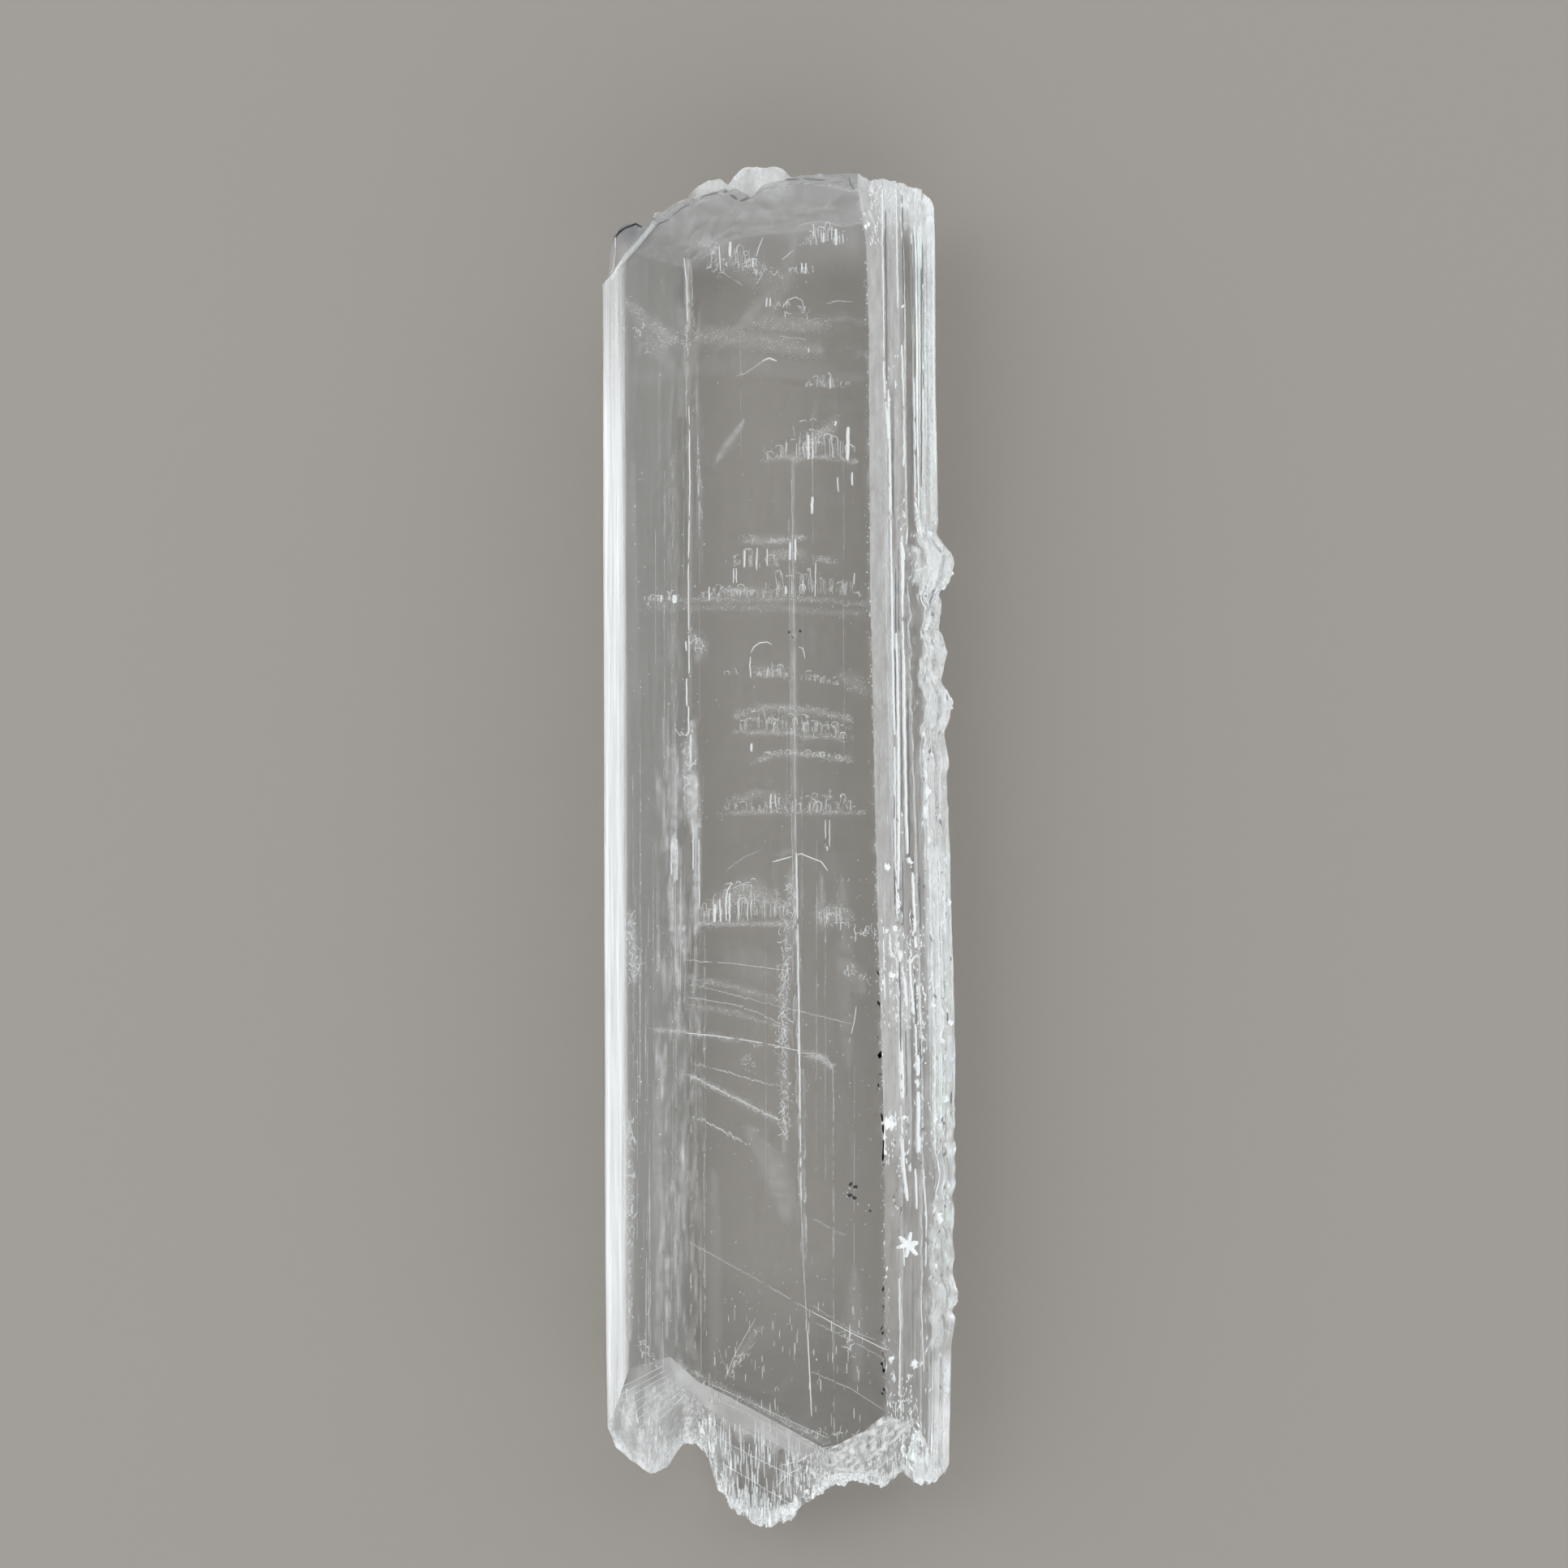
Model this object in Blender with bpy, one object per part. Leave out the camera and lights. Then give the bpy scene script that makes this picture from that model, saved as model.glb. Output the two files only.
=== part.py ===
"""Selenite crystal blade, lying on its broad back face: one natural solid.

The blade's length runs along Y, its width along X and its thickness along Z, with its back face on Z = 0.
Sizes below are in millimetres, and the mesh is made in metres. The crystal is a stack of cross-sections:
a ring of places goes round the section, long edges follow it from end to end, and each broken end is a
ragged surface whose height along Y depends on the place in the section.
"""
import bmesh
import bpy
from mathutils import Vector, geometry, noise
from numpy import arange, interp, linspace

METRES_PER_MM = 0.001

# Cross-section
THICKNESS = 11.4
SIDE_RUN = 0.68
LEFT_RIDGE_DEPTH = 2.6
RIGHT_RIDGE_DEPTH = 7.0
GROOVE_HALF_WIDTH = 0.25
GROOVE_DEPTH = 0.22

# Long edges: pairs of a place along Y and the edge's X there
LEFT_RIDGE = ((-50.0, -12.6), (-40.0, -12.8), (-26.0, -12.9), (3.0, -13.0), (41.0, -13.1))
RIGHT_RIDGE = ((-50.0, 12.2), (-42.0, 12.4), (-30.0, 12.65), (-15.0, 12.8), (0.0, 12.4), (15.0, 11.7),
               (33.0, 11.35), (45.0, 11.3), (48.5, 11.2))
FRONT_RIGHT_EDGE = ((-50.0, 7.5), (-20.0, 7.3), (-3.0, 6.8), (20.0, 6.3), (38.0, 6.2), (44.0, 6.0),
                    (46.0, 5.7), (48.0, 5.4))
GROOVE = ((-50.0, 2.4), (-40.0, 2.0), (-10.0, 1.0), (28.0, 0.6))
GROOVE_FADE = ((26.0, 1.0), (28.5, 0.0))

# The striated right side: shares of the way out to the ridge, with the share of the depth reached there
STRIATION_STEPS = ((0.0, 0.0), (0.21, 0.24), (0.235, 0.33), (0.26, 0.31), (0.38, 0.41), (0.50, 0.50),
                   (0.525, 0.60), (0.55, 0.585), (0.64, 0.66), (0.66, 0.72), (0.82, 0.80), (0.835, 0.90),
                   (0.86, 0.89), (1.0, 1.0))
RIGHT_BACK_DEPTHS = (8.0, 9.2, 10.4)
LEFT_FRONT_DEPTHS = (1.0, 1.8)
LEFT_BACK_DEPTHS = (3.1, 3.4, 4.4, 5.8, 7.2, 8.6, 10.0)

# How far the long edges stray sideways, over lengths of a few millimetres
STRIATION_WANDER = 0.13
BACK_SIDE_WANDER = 0.07
BEVEL_WANDER = 0.04
FRONT_EDGE_WANDER = 0.02
WANDER_LENGTH = 3.0
FRONT_EDGE_WANDER_LENGTH = 1.5
STRIATION_SPREAD = 12.0
BACK_SIDE_SPREAD = 3.0
BEVEL_SPREAD = 4.0
STRIATION_STRETCH = 0.35

# Crumbled lumps on the right edge: place along Y, depth, reach along Y, reach in depth, height
LUMPS = ((21.2, 6.2, 2.2, 2.6, 1.2), (17.6, 5.4, 1.2, 2.2, 0.3), (14.6, 6.0, 1.8, 2.4, 0.4),
         (10.8, 6.4, 1.9, 2.2, 0.7), (6.6, 6.8, 1.0, 1.6, 0.25), (-23.8, 5.6, 1.6, 2.2, 0.3),
         (-32.8, 6.4, 1.2, 2.2, 0.45), (-35.2, 6.0, 1.2, 1.8, 0.3))
CRUMBLE_HEIGHT = 0.34
CRUMBLE_SIZE = 0.9
CRUMBLE_BY_DEPTH = ((2.5, 0.0), (4.5, 1.0))
CRUMBLE = ((-37.0, 0.0), (-34.0, 0.7), (-21.0, 0.5), (-17.0, 0.15), (6.0, 0.2), (9.0, 0.9), (23.0, 1.0),
           (25.0, 0.0))

# Rows across the blade, between the two ends
CALM_STEP = 2.4
FINE_STEP = 0.6
FINE_STRETCHES = ((-35.0, -30.0), (-25.6, -22.0), (8.2, 24.0))
BODY_START = -34.5
BODY_END = 39.5
END_ROWS = 6

# Top end, as pairs of X and Y, at the front face, at the chipped plates behind it and at the back face
TOP_FRONT = ((-13.0, 45.6), (-9.4, 45.8), (-8.0, 46.7), (-4.6, 47.9), (-3.4, 48.0), (-2.3, 47.3),
             (-1.3, 48.3), (1.5, 48.9), (5.0, 49.0), (10.1, 49.2), (11.0, 48.7), (11.4, 47.6), (13.0, 45.6))
TOP_PLATES = ((-13.0, 44.2), (-12.3, 45.4), (-9.4, 46.0), (-6.4, 47.0), (-6.1, 48.4), (-5.4, 49.0),
              (-4.2, 48.9), (-3.8, 48.3), (-3.3, 49.5), (-2.1, 50.0), (-0.4, 50.0), (0.4, 48.9), (5.0, 48.9),
              (7.9, 49.2), (10.1, 49.3), (11.0, 48.8), (11.4, 47.8), (13.0, 46.0))
TOP_BACK = ((-13.0, 41.8), (-6.9, 43.4), (-3.9, 45.6), (5.8, 46.8), (13.0, 45.0))

# The plates lie between two depths; the back one is given as pairs of X and depth
PLATES_FRONT_DEPTH = 2.3
PLATES_BACK_DEPTH = ((1.0, 4.3), (6.0, 7.2))
PLATES_DROP = 0.35
PLATES_FOOT = 1.2
PLATES_FOOT_SHARE = 0.45
CORNER_BREAK = ((-13.0, 41.1), (-9.4, 45.8), (-9.0, 60.0))
CORNER_LEDGE_DEPTH = 3.2
CORNER_LEDGE_RAMP = 0.3
CORNER_SLOPE = 0.15
TOP_RAGGEDNESS = 0.11

# Bottom end: where the front face stops, where the facets under it stop, and the lobes' own outline
BOTTOM_FRONT = ((-13.0, -37.6), (-10.5, -36.9), (-8.1, -36.2), (-6.1, -38.0), (-3.8, -39.1), (3.2, -42.9),
                (5.6, -41.7), (7.9, -40.0), (9.6, -38.6), (13.0, -37.8))
BOTTOM_FACET = ((-13.0, -38.6), (-8.1, -37.6), (-5.0, -40.7), (-3.2, -41.8), (0.9, -43.8), (2.2, -44.7),
                (5.0, -45.3), (7.7, -43.6), (9.5, -41.6), (13.0, -41.0))
BOTTOM_LOBES = ((-13.0, -42.5), (-11.8, -43.9), (-9.6, -45.6), (-8.5, -45.2), (-7.2, -43.6), (-6.3, -43.8),
                (-5.5, -44.9), (-4.9, -47.0), (-3.7, -48.8), (-2.2, -49.9), (-0.9, -50.2), (0.6, -49.5),
                (1.3, -48.6), (2.4, -47.9), (3.7, -47.1), (5.2, -46.7), (7.2, -47.1), (8.4, -46.6),
                (8.7, -46.0), (9.4, -46.7), (10.9, -47.1), (11.8, -46.4), (12.9, -44.6))
FACET_DEPTH = ((-13.0, 0.6), (-8.1, 0.7), (-5.0, 3.0), (13.0, 3.6))
LOBE_DEPTH = ((-13.0, 3.2), (-10.0, 3.8), (-6.0, 6.2), (13.0, 6.6))
UNDERSIDE_DEPTH = 9.6
UNDERSIDE_RETREAT = 1.5
FIBRE_WIDTH = 0.5
FIBRE_BUNDLE = 1.3
FIBRE_RAGGEDNESS = 0.28
FACET_RAGGEDNESS = 0.03
LEDGE_RUN = 0.8

# Points inside an end surface
END_POINT_SPACING = 0.54
END_POINT_DEPTHS = (0.5, 1.1, 1.8, 2.5, 3.0, 3.35, 4.0, 4.6, 5.3, 6.0, 6.7, 7.4, 8.1, 8.8, 9.5, 10.2, 10.9)
END_POINT_MARGIN = 0.34
END_POINT_WANDER = 0.16
END_POINT_WANDER_LENGTH = 0.7

# How the triangulation treats its points: only triangles inside the boundary, and none merged
KEEP_INSIDE_ONLY = 1
MERGE_DISTANCE = 1e-6

# Numbers that keep one noise pattern apart from another
LEFT_PATTERN = 1.0
EDGE_PATTERN = 2.0
STRIATION_PATTERN = 3.0
CRUMBLE_PATTERN = 5.0
BACK_SIDE_PATTERN = 6.0
POINT_PATTERN = 9.0
TOP_PATTERN = 20.0
BOTTOM_PATTERN = 40.0


def along(profile, place):
    """Value of a profile of (place, value) pairs at one place; beyond its ends it stays level."""
    places, values = zip(*profile)
    return float(interp(place, places, values))


def wander(across, lengthwise, pattern, size):
    """Smooth noise between -1 and 1 whose lumps are about the given size."""
    return noise.noise(Vector((across / size, lengthwise / size, pattern)))


def lump_height(y, depth):
    """How far the crumbled lumps push the right side outwards."""
    height = 0.0
    for lump_y, lump_depth, reach_y, reach_depth, lump_size in LUMPS:
        distance = ((y - lump_y) / reach_y) ** 2 + ((depth - lump_depth) / reach_depth) ** 2
        height += lump_size * max(0.0, 1.0 - distance)
    crumble = along(CRUMBLE, y) * along(CRUMBLE_BY_DEPTH, depth)
    return height + crumble * CRUMBLE_HEIGHT * wander(depth, y, CRUMBLE_PATTERN, CRUMBLE_SIZE)


def front_left_x(y):
    return along(LEFT_RIDGE, y) + SIDE_RUN * LEFT_RIDGE_DEPTH


def front_right_x(y):
    stray = FRONT_EDGE_WANDER * wander(0.0, y, EDGE_PATTERN, FRONT_EDGE_WANDER_LENGTH)
    return along(FRONT_RIGHT_EDGE, y) + stray


def back_left_x(y):
    return along(LEFT_RIDGE, y) + SIDE_RUN * (THICKNESS - LEFT_RIDGE_DEPTH)


def back_right_x(y):
    return along(RIGHT_RIDGE, y) - SIDE_RUN * (THICKNESS - RIGHT_RIDGE_DEPTH)


def left_side(depth):
    """A place on the left side: out from the front edge to the ridge, then in towards the back."""
    def place(y):
        run = SIDE_RUN * abs(depth - LEFT_RIDGE_DEPTH)
        stray = BEVEL_WANDER * wander(depth * BEVEL_SPREAD, y, LEFT_PATTERN, WANDER_LENGTH)
        return along(LEFT_RIDGE, y) + run + stray, THICKNESS - depth
    return place


def striated_side(share_out, share_deep):
    """A place on the stepped right side, between the front edge and the right ridge."""
    def place(y):
        start = along(FRONT_RIGHT_EDGE, y)
        depth = share_deep * RIGHT_RIDGE_DEPTH
        x = start + share_out * (along(RIGHT_RIDGE, y) - start)
        spread = share_out * STRIATION_SPREAD
        x += STRIATION_WANDER * wander(spread, y * STRIATION_STRETCH, STRIATION_PATTERN, WANDER_LENGTH)
        return x + lump_height(y, depth), THICKNESS - depth
    return place


def right_back_side(depth):
    """A place on the right side, between the right ridge and the back face."""
    def place(y):
        x = along(RIGHT_RIDGE, y) - SIDE_RUN * (depth - RIGHT_RIDGE_DEPTH)
        spread = depth * BACK_SIDE_SPREAD
        x += BACK_SIDE_WANDER * wander(spread, y * STRIATION_STRETCH, BACK_SIDE_PATTERN, WANDER_LENGTH)
        return x + lump_height(y, depth), THICKNESS - depth
    return place


def flat_face(left, right, share, z):
    """A place on a broad face, a share of the way from one of its long edges to the other."""
    def place(y):
        return left(y) + share * (right(y) - left(y)), z
    return place


def groove_place(offset, height):
    """A place on the shallow groove along the back face."""
    def place(y):
        return along(GROOVE, y) + offset, height * along(GROOVE_FADE, y)
    return place


def shares_across(width):
    """Even shares across a broad face, without its two edges."""
    count = max(2, round(width / END_POINT_SPACING))
    return linspace(0.0, 1.0, count + 1)[1:-1]


def section_ring():
    """The places round the section, each with True where a long edge follows it from end to end."""
    ring = []
    front_width = front_right_x(0.0) - front_left_x(0.0)
    ring.append((flat_face(front_left_x, front_right_x, 0.0, THICKNESS), True))
    for share in shares_across(front_width):
        ring.append((flat_face(front_left_x, front_right_x, share, THICKNESS), False))
    ring.append((flat_face(front_left_x, front_right_x, 1.0, THICKNESS), True))
    for share_out, share_deep in STRIATION_STEPS[1:]:
        ring.append((striated_side(share_out, share_deep), True))
    for depth in RIGHT_BACK_DEPTHS:
        ring.append((right_back_side(depth), True))
    ring.append((flat_face(back_right_x, back_left_x, 0.0, 0.0), True))
    ring.extend(back_face_places())
    ring.append((flat_face(back_right_x, back_left_x, 1.0, 0.0), True))
    for depth in reversed(LEFT_BACK_DEPTHS):
        ring.append((left_side(depth), True))
    ring.append((left_side(LEFT_RIDGE_DEPTH), True))
    for depth in reversed(LEFT_FRONT_DEPTHS):
        ring.append((left_side(depth), True))
    return ring


def back_face_places():
    """The places across the back face, from right to left, with the groove in the middle."""
    right_lip = groove_place(GROOVE_HALF_WIDTH, 0.0)
    left_lip = groove_place(-GROOVE_HALF_WIDTH, 0.0)
    places = []
    for share in shares_across(back_right_x(0.0) - along(GROOVE, 0.0)):
        places.append((flat_face(back_right_x, lambda y: right_lip(y)[0], share, 0.0), False))
    places.append((right_lip, True))
    places.append((groove_place(0.0, GROOVE_DEPTH), True))
    places.append((left_lip, True))
    for share in shares_across(along(GROOVE, 0.0) - back_left_x(0.0)):
        places.append((flat_face(lambda y: left_lip(y)[0], back_left_x, share, 0.0), False))
    return places


def top_height(x, z):
    """Y of the broken top end at a place in the section."""
    depth = THICKNESS - z
    front = along(TOP_FRONT, x)
    plates = along(TOP_PLATES, x)
    back = along(TOP_BACK, x)
    plates_back = along(PLATES_BACK_DEPTH, x)
    foot = back + PLATES_FOOT_SHARE * (plates - back)
    levels = ((0.0, front), (PLATES_FRONT_DEPTH - PLATES_DROP, front - PLATES_DROP),
              (PLATES_FRONT_DEPTH, plates), (plates_back, plates - PLATES_DROP),
              (plates_back + PLATES_FOOT, foot), (THICKNESS, back))
    y = along(levels, depth)
    ledge_end = CORNER_LEDGE_DEPTH + CORNER_LEDGE_RAMP
    break_share = along(((CORNER_LEDGE_DEPTH, 1.0), (ledge_end, 0.0)), depth)
    break_y = along(CORNER_BREAK, x) + CORNER_SLOPE * depth
    y += break_share * min(0.0, break_y - y)
    return y + TOP_RAGGEDNESS * raggedness(x, z, TOP_PATTERN)


def raggedness(x, z, pattern):
    """How far the fibres, single and in bundles, stand out at a place in the section: from -1 to 1."""
    fibre = noise.cell(Vector((x / FIBRE_WIDTH, z / FIBRE_WIDTH, pattern)))
    bundle = noise.cell(Vector((x / FIBRE_BUNDLE, z / FIBRE_BUNDLE, pattern + 1.0)))
    return (fibre + bundle) / 2.0


def bottom_height(x, z):
    """Y of the bottom end: a facet under the front face, a fibrous ledge, and the lobes' ragged tips."""
    depth = THICKNESS - z
    facet_depth = along(FACET_DEPTH, x)
    lobe_depth = along(LOBE_DEPTH, x)
    lobes = along(BOTTOM_LOBES, x)
    levels = ((0.0, along(BOTTOM_FRONT, x)), (facet_depth, along(BOTTOM_FACET, x)), (lobe_depth, lobes),
              (UNDERSIDE_DEPTH, lobes), (THICKNESS, lobes + UNDERSIDE_RETREAT))
    ragged = along(((facet_depth, FACET_RAGGEDNESS), (facet_depth + LEDGE_RUN, FIBRE_RAGGEDNESS)), depth)
    return along(levels, depth) + ragged * raggedness(x, z, BOTTOM_PATTERN)


def end_point(place, height, start_y):
    """The point of an end surface where a long edge or a broad face reaches it."""
    x, z = place(start_y)
    y = height(x, z)
    x, z = place(y)
    return Vector((x, height(x, z), z))


def body_rows():
    """Places along Y of the rows across the blade, closer together where the sides are crumbled."""
    rows = [BODY_START]
    while rows[-1] < BODY_END:
        fine = any(low <= rows[-1] < high for low, high in FINE_STRETCHES)
        rows.append(rows[-1] + (FINE_STEP if fine else CALM_STEP))
    return rows[:-1]


def edge_points(place, bottom, top):
    """Points of one long edge, from its place on the bottom end to its place on the top end."""
    rows = body_rows()
    lower = [bottom.y + (rows[0] - bottom.y) * step / END_ROWS for step in range(1, END_ROWS)]
    upper = [rows[-1] + (top.y - rows[-1]) * step / END_ROWS for step in range(1, END_ROWS)]
    points = [bottom]
    for y in lower + rows + upper:
        x, z = place(y)
        points.append(Vector((x, y, z)))
    points.append(top)
    return points


def inner_points(boundary, height):
    """Points inside an end surface, kept clear of its boundary."""
    outline = [Vector((point.x, point.z)) for point in boundary]
    leftmost = min(point.x for point in outline)
    rightmost = max(point.x for point in outline)
    points = []
    for depth in END_POINT_DEPTHS:
        z = THICKNESS - depth
        for x in arange(leftmost, rightmost, END_POINT_SPACING):
            shifted = x + END_POINT_WANDER * wander(x, z, POINT_PATTERN, END_POINT_WANDER_LENGTH)
            spot = Vector((shifted, z))
            if inside(spot, outline) and clearance(spot, outline) > END_POINT_MARGIN:
                points.append(Vector((shifted, height(shifted, z), z)))
    return points


def edges_of(outline):
    """The outline's edges, as pairs of points."""
    return zip(outline, outline[1:] + outline[:1])


def inside(spot, outline):
    """True where a spot lies within an outline."""
    crossings = 0
    for start, end in edges_of(outline):
        if (start.y > spot.y) != (end.y > spot.y):
            crossing_x = start.x + (spot.y - start.y) * (end.x - start.x) / (end.y - start.y)
            crossings += spot.x < crossing_x
    return crossings % 2 == 1


def clearance(spot, outline):
    """Distance from a spot to the nearest edge of an outline."""
    distances = []
    for start, end in edges_of(outline):
        share = geometry.intersect_point_line(spot, start, end)[1]
        nearest = start.lerp(end, min(1.0, max(0.0, share)))
        distances.append((spot - nearest).length)
    return min(distances)


def add_end_surface(mesh, boundary_verts, height):
    """Fill one broken end with triangles between its boundary and the points inside it."""
    boundary = [vert.co for vert in boundary_verts]
    extra = [mesh.verts.new(point) for point in inner_points(boundary, height)]
    verts = boundary_verts + extra
    flat = [Vector((vert.co.x, vert.co.z)) for vert in verts]
    count = len(boundary_verts)
    rim = [(index, (index + 1) % count) for index in range(count)]
    triangles = geometry.delaunay_2d_cdt(flat, rim, [], KEEP_INSIDE_ONLY, MERGE_DISTANCE)[2]
    for triangle in triangles:
        mesh.faces.new([verts[index] for index in triangle])


def add_side_surfaces(mesh, ring, edges, bottom_rim, top_rim):
    """Join neighbouring long edges by strips, and fill each broad face with one flat face."""
    corners = [index for index, (place, runs) in enumerate(ring) if runs]
    for start, end in zip(corners, corners[1:] + corners[:1]):
        near = edges[start]
        far = edges[end]
        if (end - start) % len(ring) == 1:
            for row in range(len(near) - 1):
                mesh.faces.new((near[row], near[row + 1], far[row + 1], far[row]))
        else:
            mesh.faces.new(near + top_rim[start + 1:end] + far[::-1] + bottom_rim[start + 1:end][::-1])


def build_blade():
    """Make the whole crystal as one closed mesh, in millimetres."""
    mesh = bmesh.new()
    ring = section_ring()
    bottom_rim = []
    top_rim = []
    edges = {}
    for index, (place, runs) in enumerate(ring):
        bottom = end_point(place, bottom_height, BODY_START)
        top = end_point(place, top_height, BODY_END)
        points = edge_points(place, bottom, top) if runs else [bottom, top]
        verts = [mesh.verts.new(point) for point in points]
        bottom_rim.append(verts[0])
        top_rim.append(verts[-1])
        edges[index] = verts
    add_side_surfaces(mesh, ring, edges, bottom_rim, top_rim)
    add_end_surface(mesh, bottom_rim, bottom_height)
    add_end_surface(mesh, top_rim, top_height)
    bmesh.ops.triangulate(mesh, faces=mesh.faces[:])
    bmesh.ops.recalc_face_normals(mesh, faces=mesh.faces[:])
    return mesh


def selenite_material():
    """Clear, faintly cool crystal."""
    material = bpy.data.materials.new("clear_selenite")
    material.use_nodes = True
    shader = material.node_tree.nodes["Principled BSDF"]
    shader.inputs["Base Color"].default_value = (0.93, 0.96, 0.96, 1.0)
    shader.inputs["Roughness"].default_value = 0.06
    shader.inputs["Metallic"].default_value = 0.0
    shader.inputs["IOR"].default_value = 1.52
    shader.inputs["Transmission Weight"].default_value = 1.0
    return material


def main():
    for item in list(bpy.data.objects):
        bpy.data.objects.remove(item, do_unlink=True)
    mesh = build_blade()
    bmesh.ops.scale(mesh, vec=(METRES_PER_MM,) * 3, verts=mesh.verts)
    data = bpy.data.meshes.new("selenite_blade")
    mesh.to_mesh(data)
    mesh.free()
    data.materials.append(selenite_material())
    blade = bpy.data.objects.new("selenite_blade", data)
    bpy.context.scene.collection.objects.link(blade)


main()
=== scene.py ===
"""Selenite crystal blade: the finished look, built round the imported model.

Lengths are in millimetres until a mesh is made, and Y runs along the blade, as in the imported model.
Marks in and on the crystal are placed by where they are seen in the 1932 pixel picture: pixels across,
pixels down, and for a mark inside the crystal its depth below the front face.
"""
import math
import random
from collections import namedtuple

import bmesh
import bpy
from mathutils import Matrix, Vector, geometry, noise
from numpy import arange, interp, linspace


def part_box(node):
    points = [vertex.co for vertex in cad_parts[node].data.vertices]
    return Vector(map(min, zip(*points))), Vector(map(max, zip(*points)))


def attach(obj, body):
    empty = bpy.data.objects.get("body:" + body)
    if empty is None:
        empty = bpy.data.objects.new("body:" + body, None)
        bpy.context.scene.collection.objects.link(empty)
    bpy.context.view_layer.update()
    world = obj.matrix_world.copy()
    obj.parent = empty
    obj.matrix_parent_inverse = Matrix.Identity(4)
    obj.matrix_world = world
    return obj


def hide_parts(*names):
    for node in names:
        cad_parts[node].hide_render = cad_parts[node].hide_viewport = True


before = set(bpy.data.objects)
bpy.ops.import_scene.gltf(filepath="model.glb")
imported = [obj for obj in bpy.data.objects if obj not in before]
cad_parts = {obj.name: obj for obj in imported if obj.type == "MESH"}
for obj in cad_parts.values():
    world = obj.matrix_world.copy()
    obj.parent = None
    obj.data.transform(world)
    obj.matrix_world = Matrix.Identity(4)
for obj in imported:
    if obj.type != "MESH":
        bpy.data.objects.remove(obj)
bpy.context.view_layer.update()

METRES_PER_MM = 0.001
NODE = "selenite_blade"
SEED = 51

# ---------------------------------------------------------------- the picture's view
PICTURE_SIZE = 1932
VIEW_DISTANCE = 230.0
MM_PER_PIXEL = 0.0584
VIEW_X = 0.1
VIEW_Y = 5.0
CRYSTAL_IOR = 1.52
# Not gypsum's: with the true one, the flank and the top's clear part reflect totally from inside
FLANK_IOR = 1.04

# ---------------------------------------------------------------- the crystal's form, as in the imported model
THICKNESS = 11.4
SIDE_RUN = 0.68
LEFT_RIDGE_DEPTH = 2.6
RIGHT_RIDGE_DEPTH = 7.0
GROOVE_HALF_WIDTH = 0.05
GROOVE_DEPTH = 0.045

LEFT_RIDGE = ((-50.0, -12.6), (-40.0, -12.8), (-26.0, -12.9), (3.0, -13.0), (41.0, -13.1))
RIGHT_RIDGE = (
    (-50.0, 12.2), (-42.0, 12.4), (-30.0, 12.65), (-15.0, 12.8), (0.0, 12.4), (15.0, 11.7), (33.0, 11.35),
    (45.0, 11.3), (48.5, 11.2),
)
FRONT_RIGHT_EDGE = (
    (-50.0, 7.5), (-20.0, 7.3), (-3.0, 6.8), (20.0, 6.3), (38.0, 6.2), (44.0, 6.0), (46.0, 5.7), (48.0, 5.4),
)
GROOVE = ((-50.0, 2.4), (-40.0, 2.0), (-10.0, 1.0), (28.0, 0.6))
GROOVE_FADE = ((-32.0, 0.5), (-30.0, 1.0), (-2.0, 1.0), (1.0, 0.35), (22.0, 0.2), (28.5, 0.0))

STRIATION_STEPS = (
    (0.0, 0.0), (0.21, 0.24), (0.235, 0.33), (0.26, 0.31), (0.38, 0.41), (0.5, 0.5), (0.525, 0.6),
    (0.55, 0.585), (0.64, 0.66), (0.66, 0.72), (0.82, 0.8), (0.835, 0.9), (0.86, 0.89), (1.0, 1.0),
)
STRIATION_SPACING = 0.022
STRIATION_RELIEF = 0.006
RIGHT_BACK_DEPTHS = (7.3, 7.7, 8.1, 8.6, 9.0, 9.5, 10.0, 10.6)
LEFT_FRONT_DEPTHS = (0.08, 0.17, 0.35, 0.52, 0.69, 0.87, 1.05, 1.21, 1.4, 1.65, 1.9, 2.08, 2.25, 2.43)
LEFT_BACK_DEPTHS = (2.9, 3.1, 3.4, 3.9, 4.4, 5.1, 5.8, 6.5, 7.2, 7.9, 8.6, 9.3, 10.0, 10.7)
FRONT_SHARES_LEFT = (0.004, 0.008, 0.013, 0.019, 0.026)

STRIATION_WANDER = 0.05
BACK_SIDE_WANDER = 0.05
BEVEL_WANDER = 0.03
FRONT_EDGE_WANDER = 0.07
WANDER_LENGTH = 3.0
FRONT_EDGE_WANDER_LENGTH = 0.7
STRIATION_SPREAD = 12.0
BACK_SIDE_SPREAD = 3.0
BEVEL_SPREAD = 4.0
STRIATION_STRETCH = 0.35

LUMPS = (
    (21.2, 6.2, 2.2, 2.6, 1.2), (17.6, 5.4, 1.2, 2.2, 0.3), (14.6, 6.0, 1.8, 2.4, 0.4),
    (10.8, 6.4, 1.9, 2.2, 0.7), (6.6, 6.8, 1.0, 1.6, 0.25), (-23.8, 5.6, 1.6, 2.2, 0.3),
    (-32.8, 6.4, 1.2, 2.2, 0.45), (-35.2, 6.0, 1.2, 1.8, 0.3),
)
CRUMBLE_HEIGHT = 0.34
CRUMBLE_SIZE = 0.9
FINE_CRUMBLE_HEIGHT = 0.12
FINE_CRUMBLE_SIZE = 0.4
CRUMBLE_BY_DEPTH = ((2.5, 0.0), (4.5, 1.0))
CRUMBLE = (
    (-37.0, 0.0), (-34.0, 0.7), (-21.0, 0.5), (-17.0, 0.15), (6.0, 0.2), (9.0, 0.9), (23.0, 1.0), (25.0, 0.0),
)

ROW_STEP = 0.32
BODY_START = -34.5
BODY_END = 39.5
END_ROWS = 26

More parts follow.
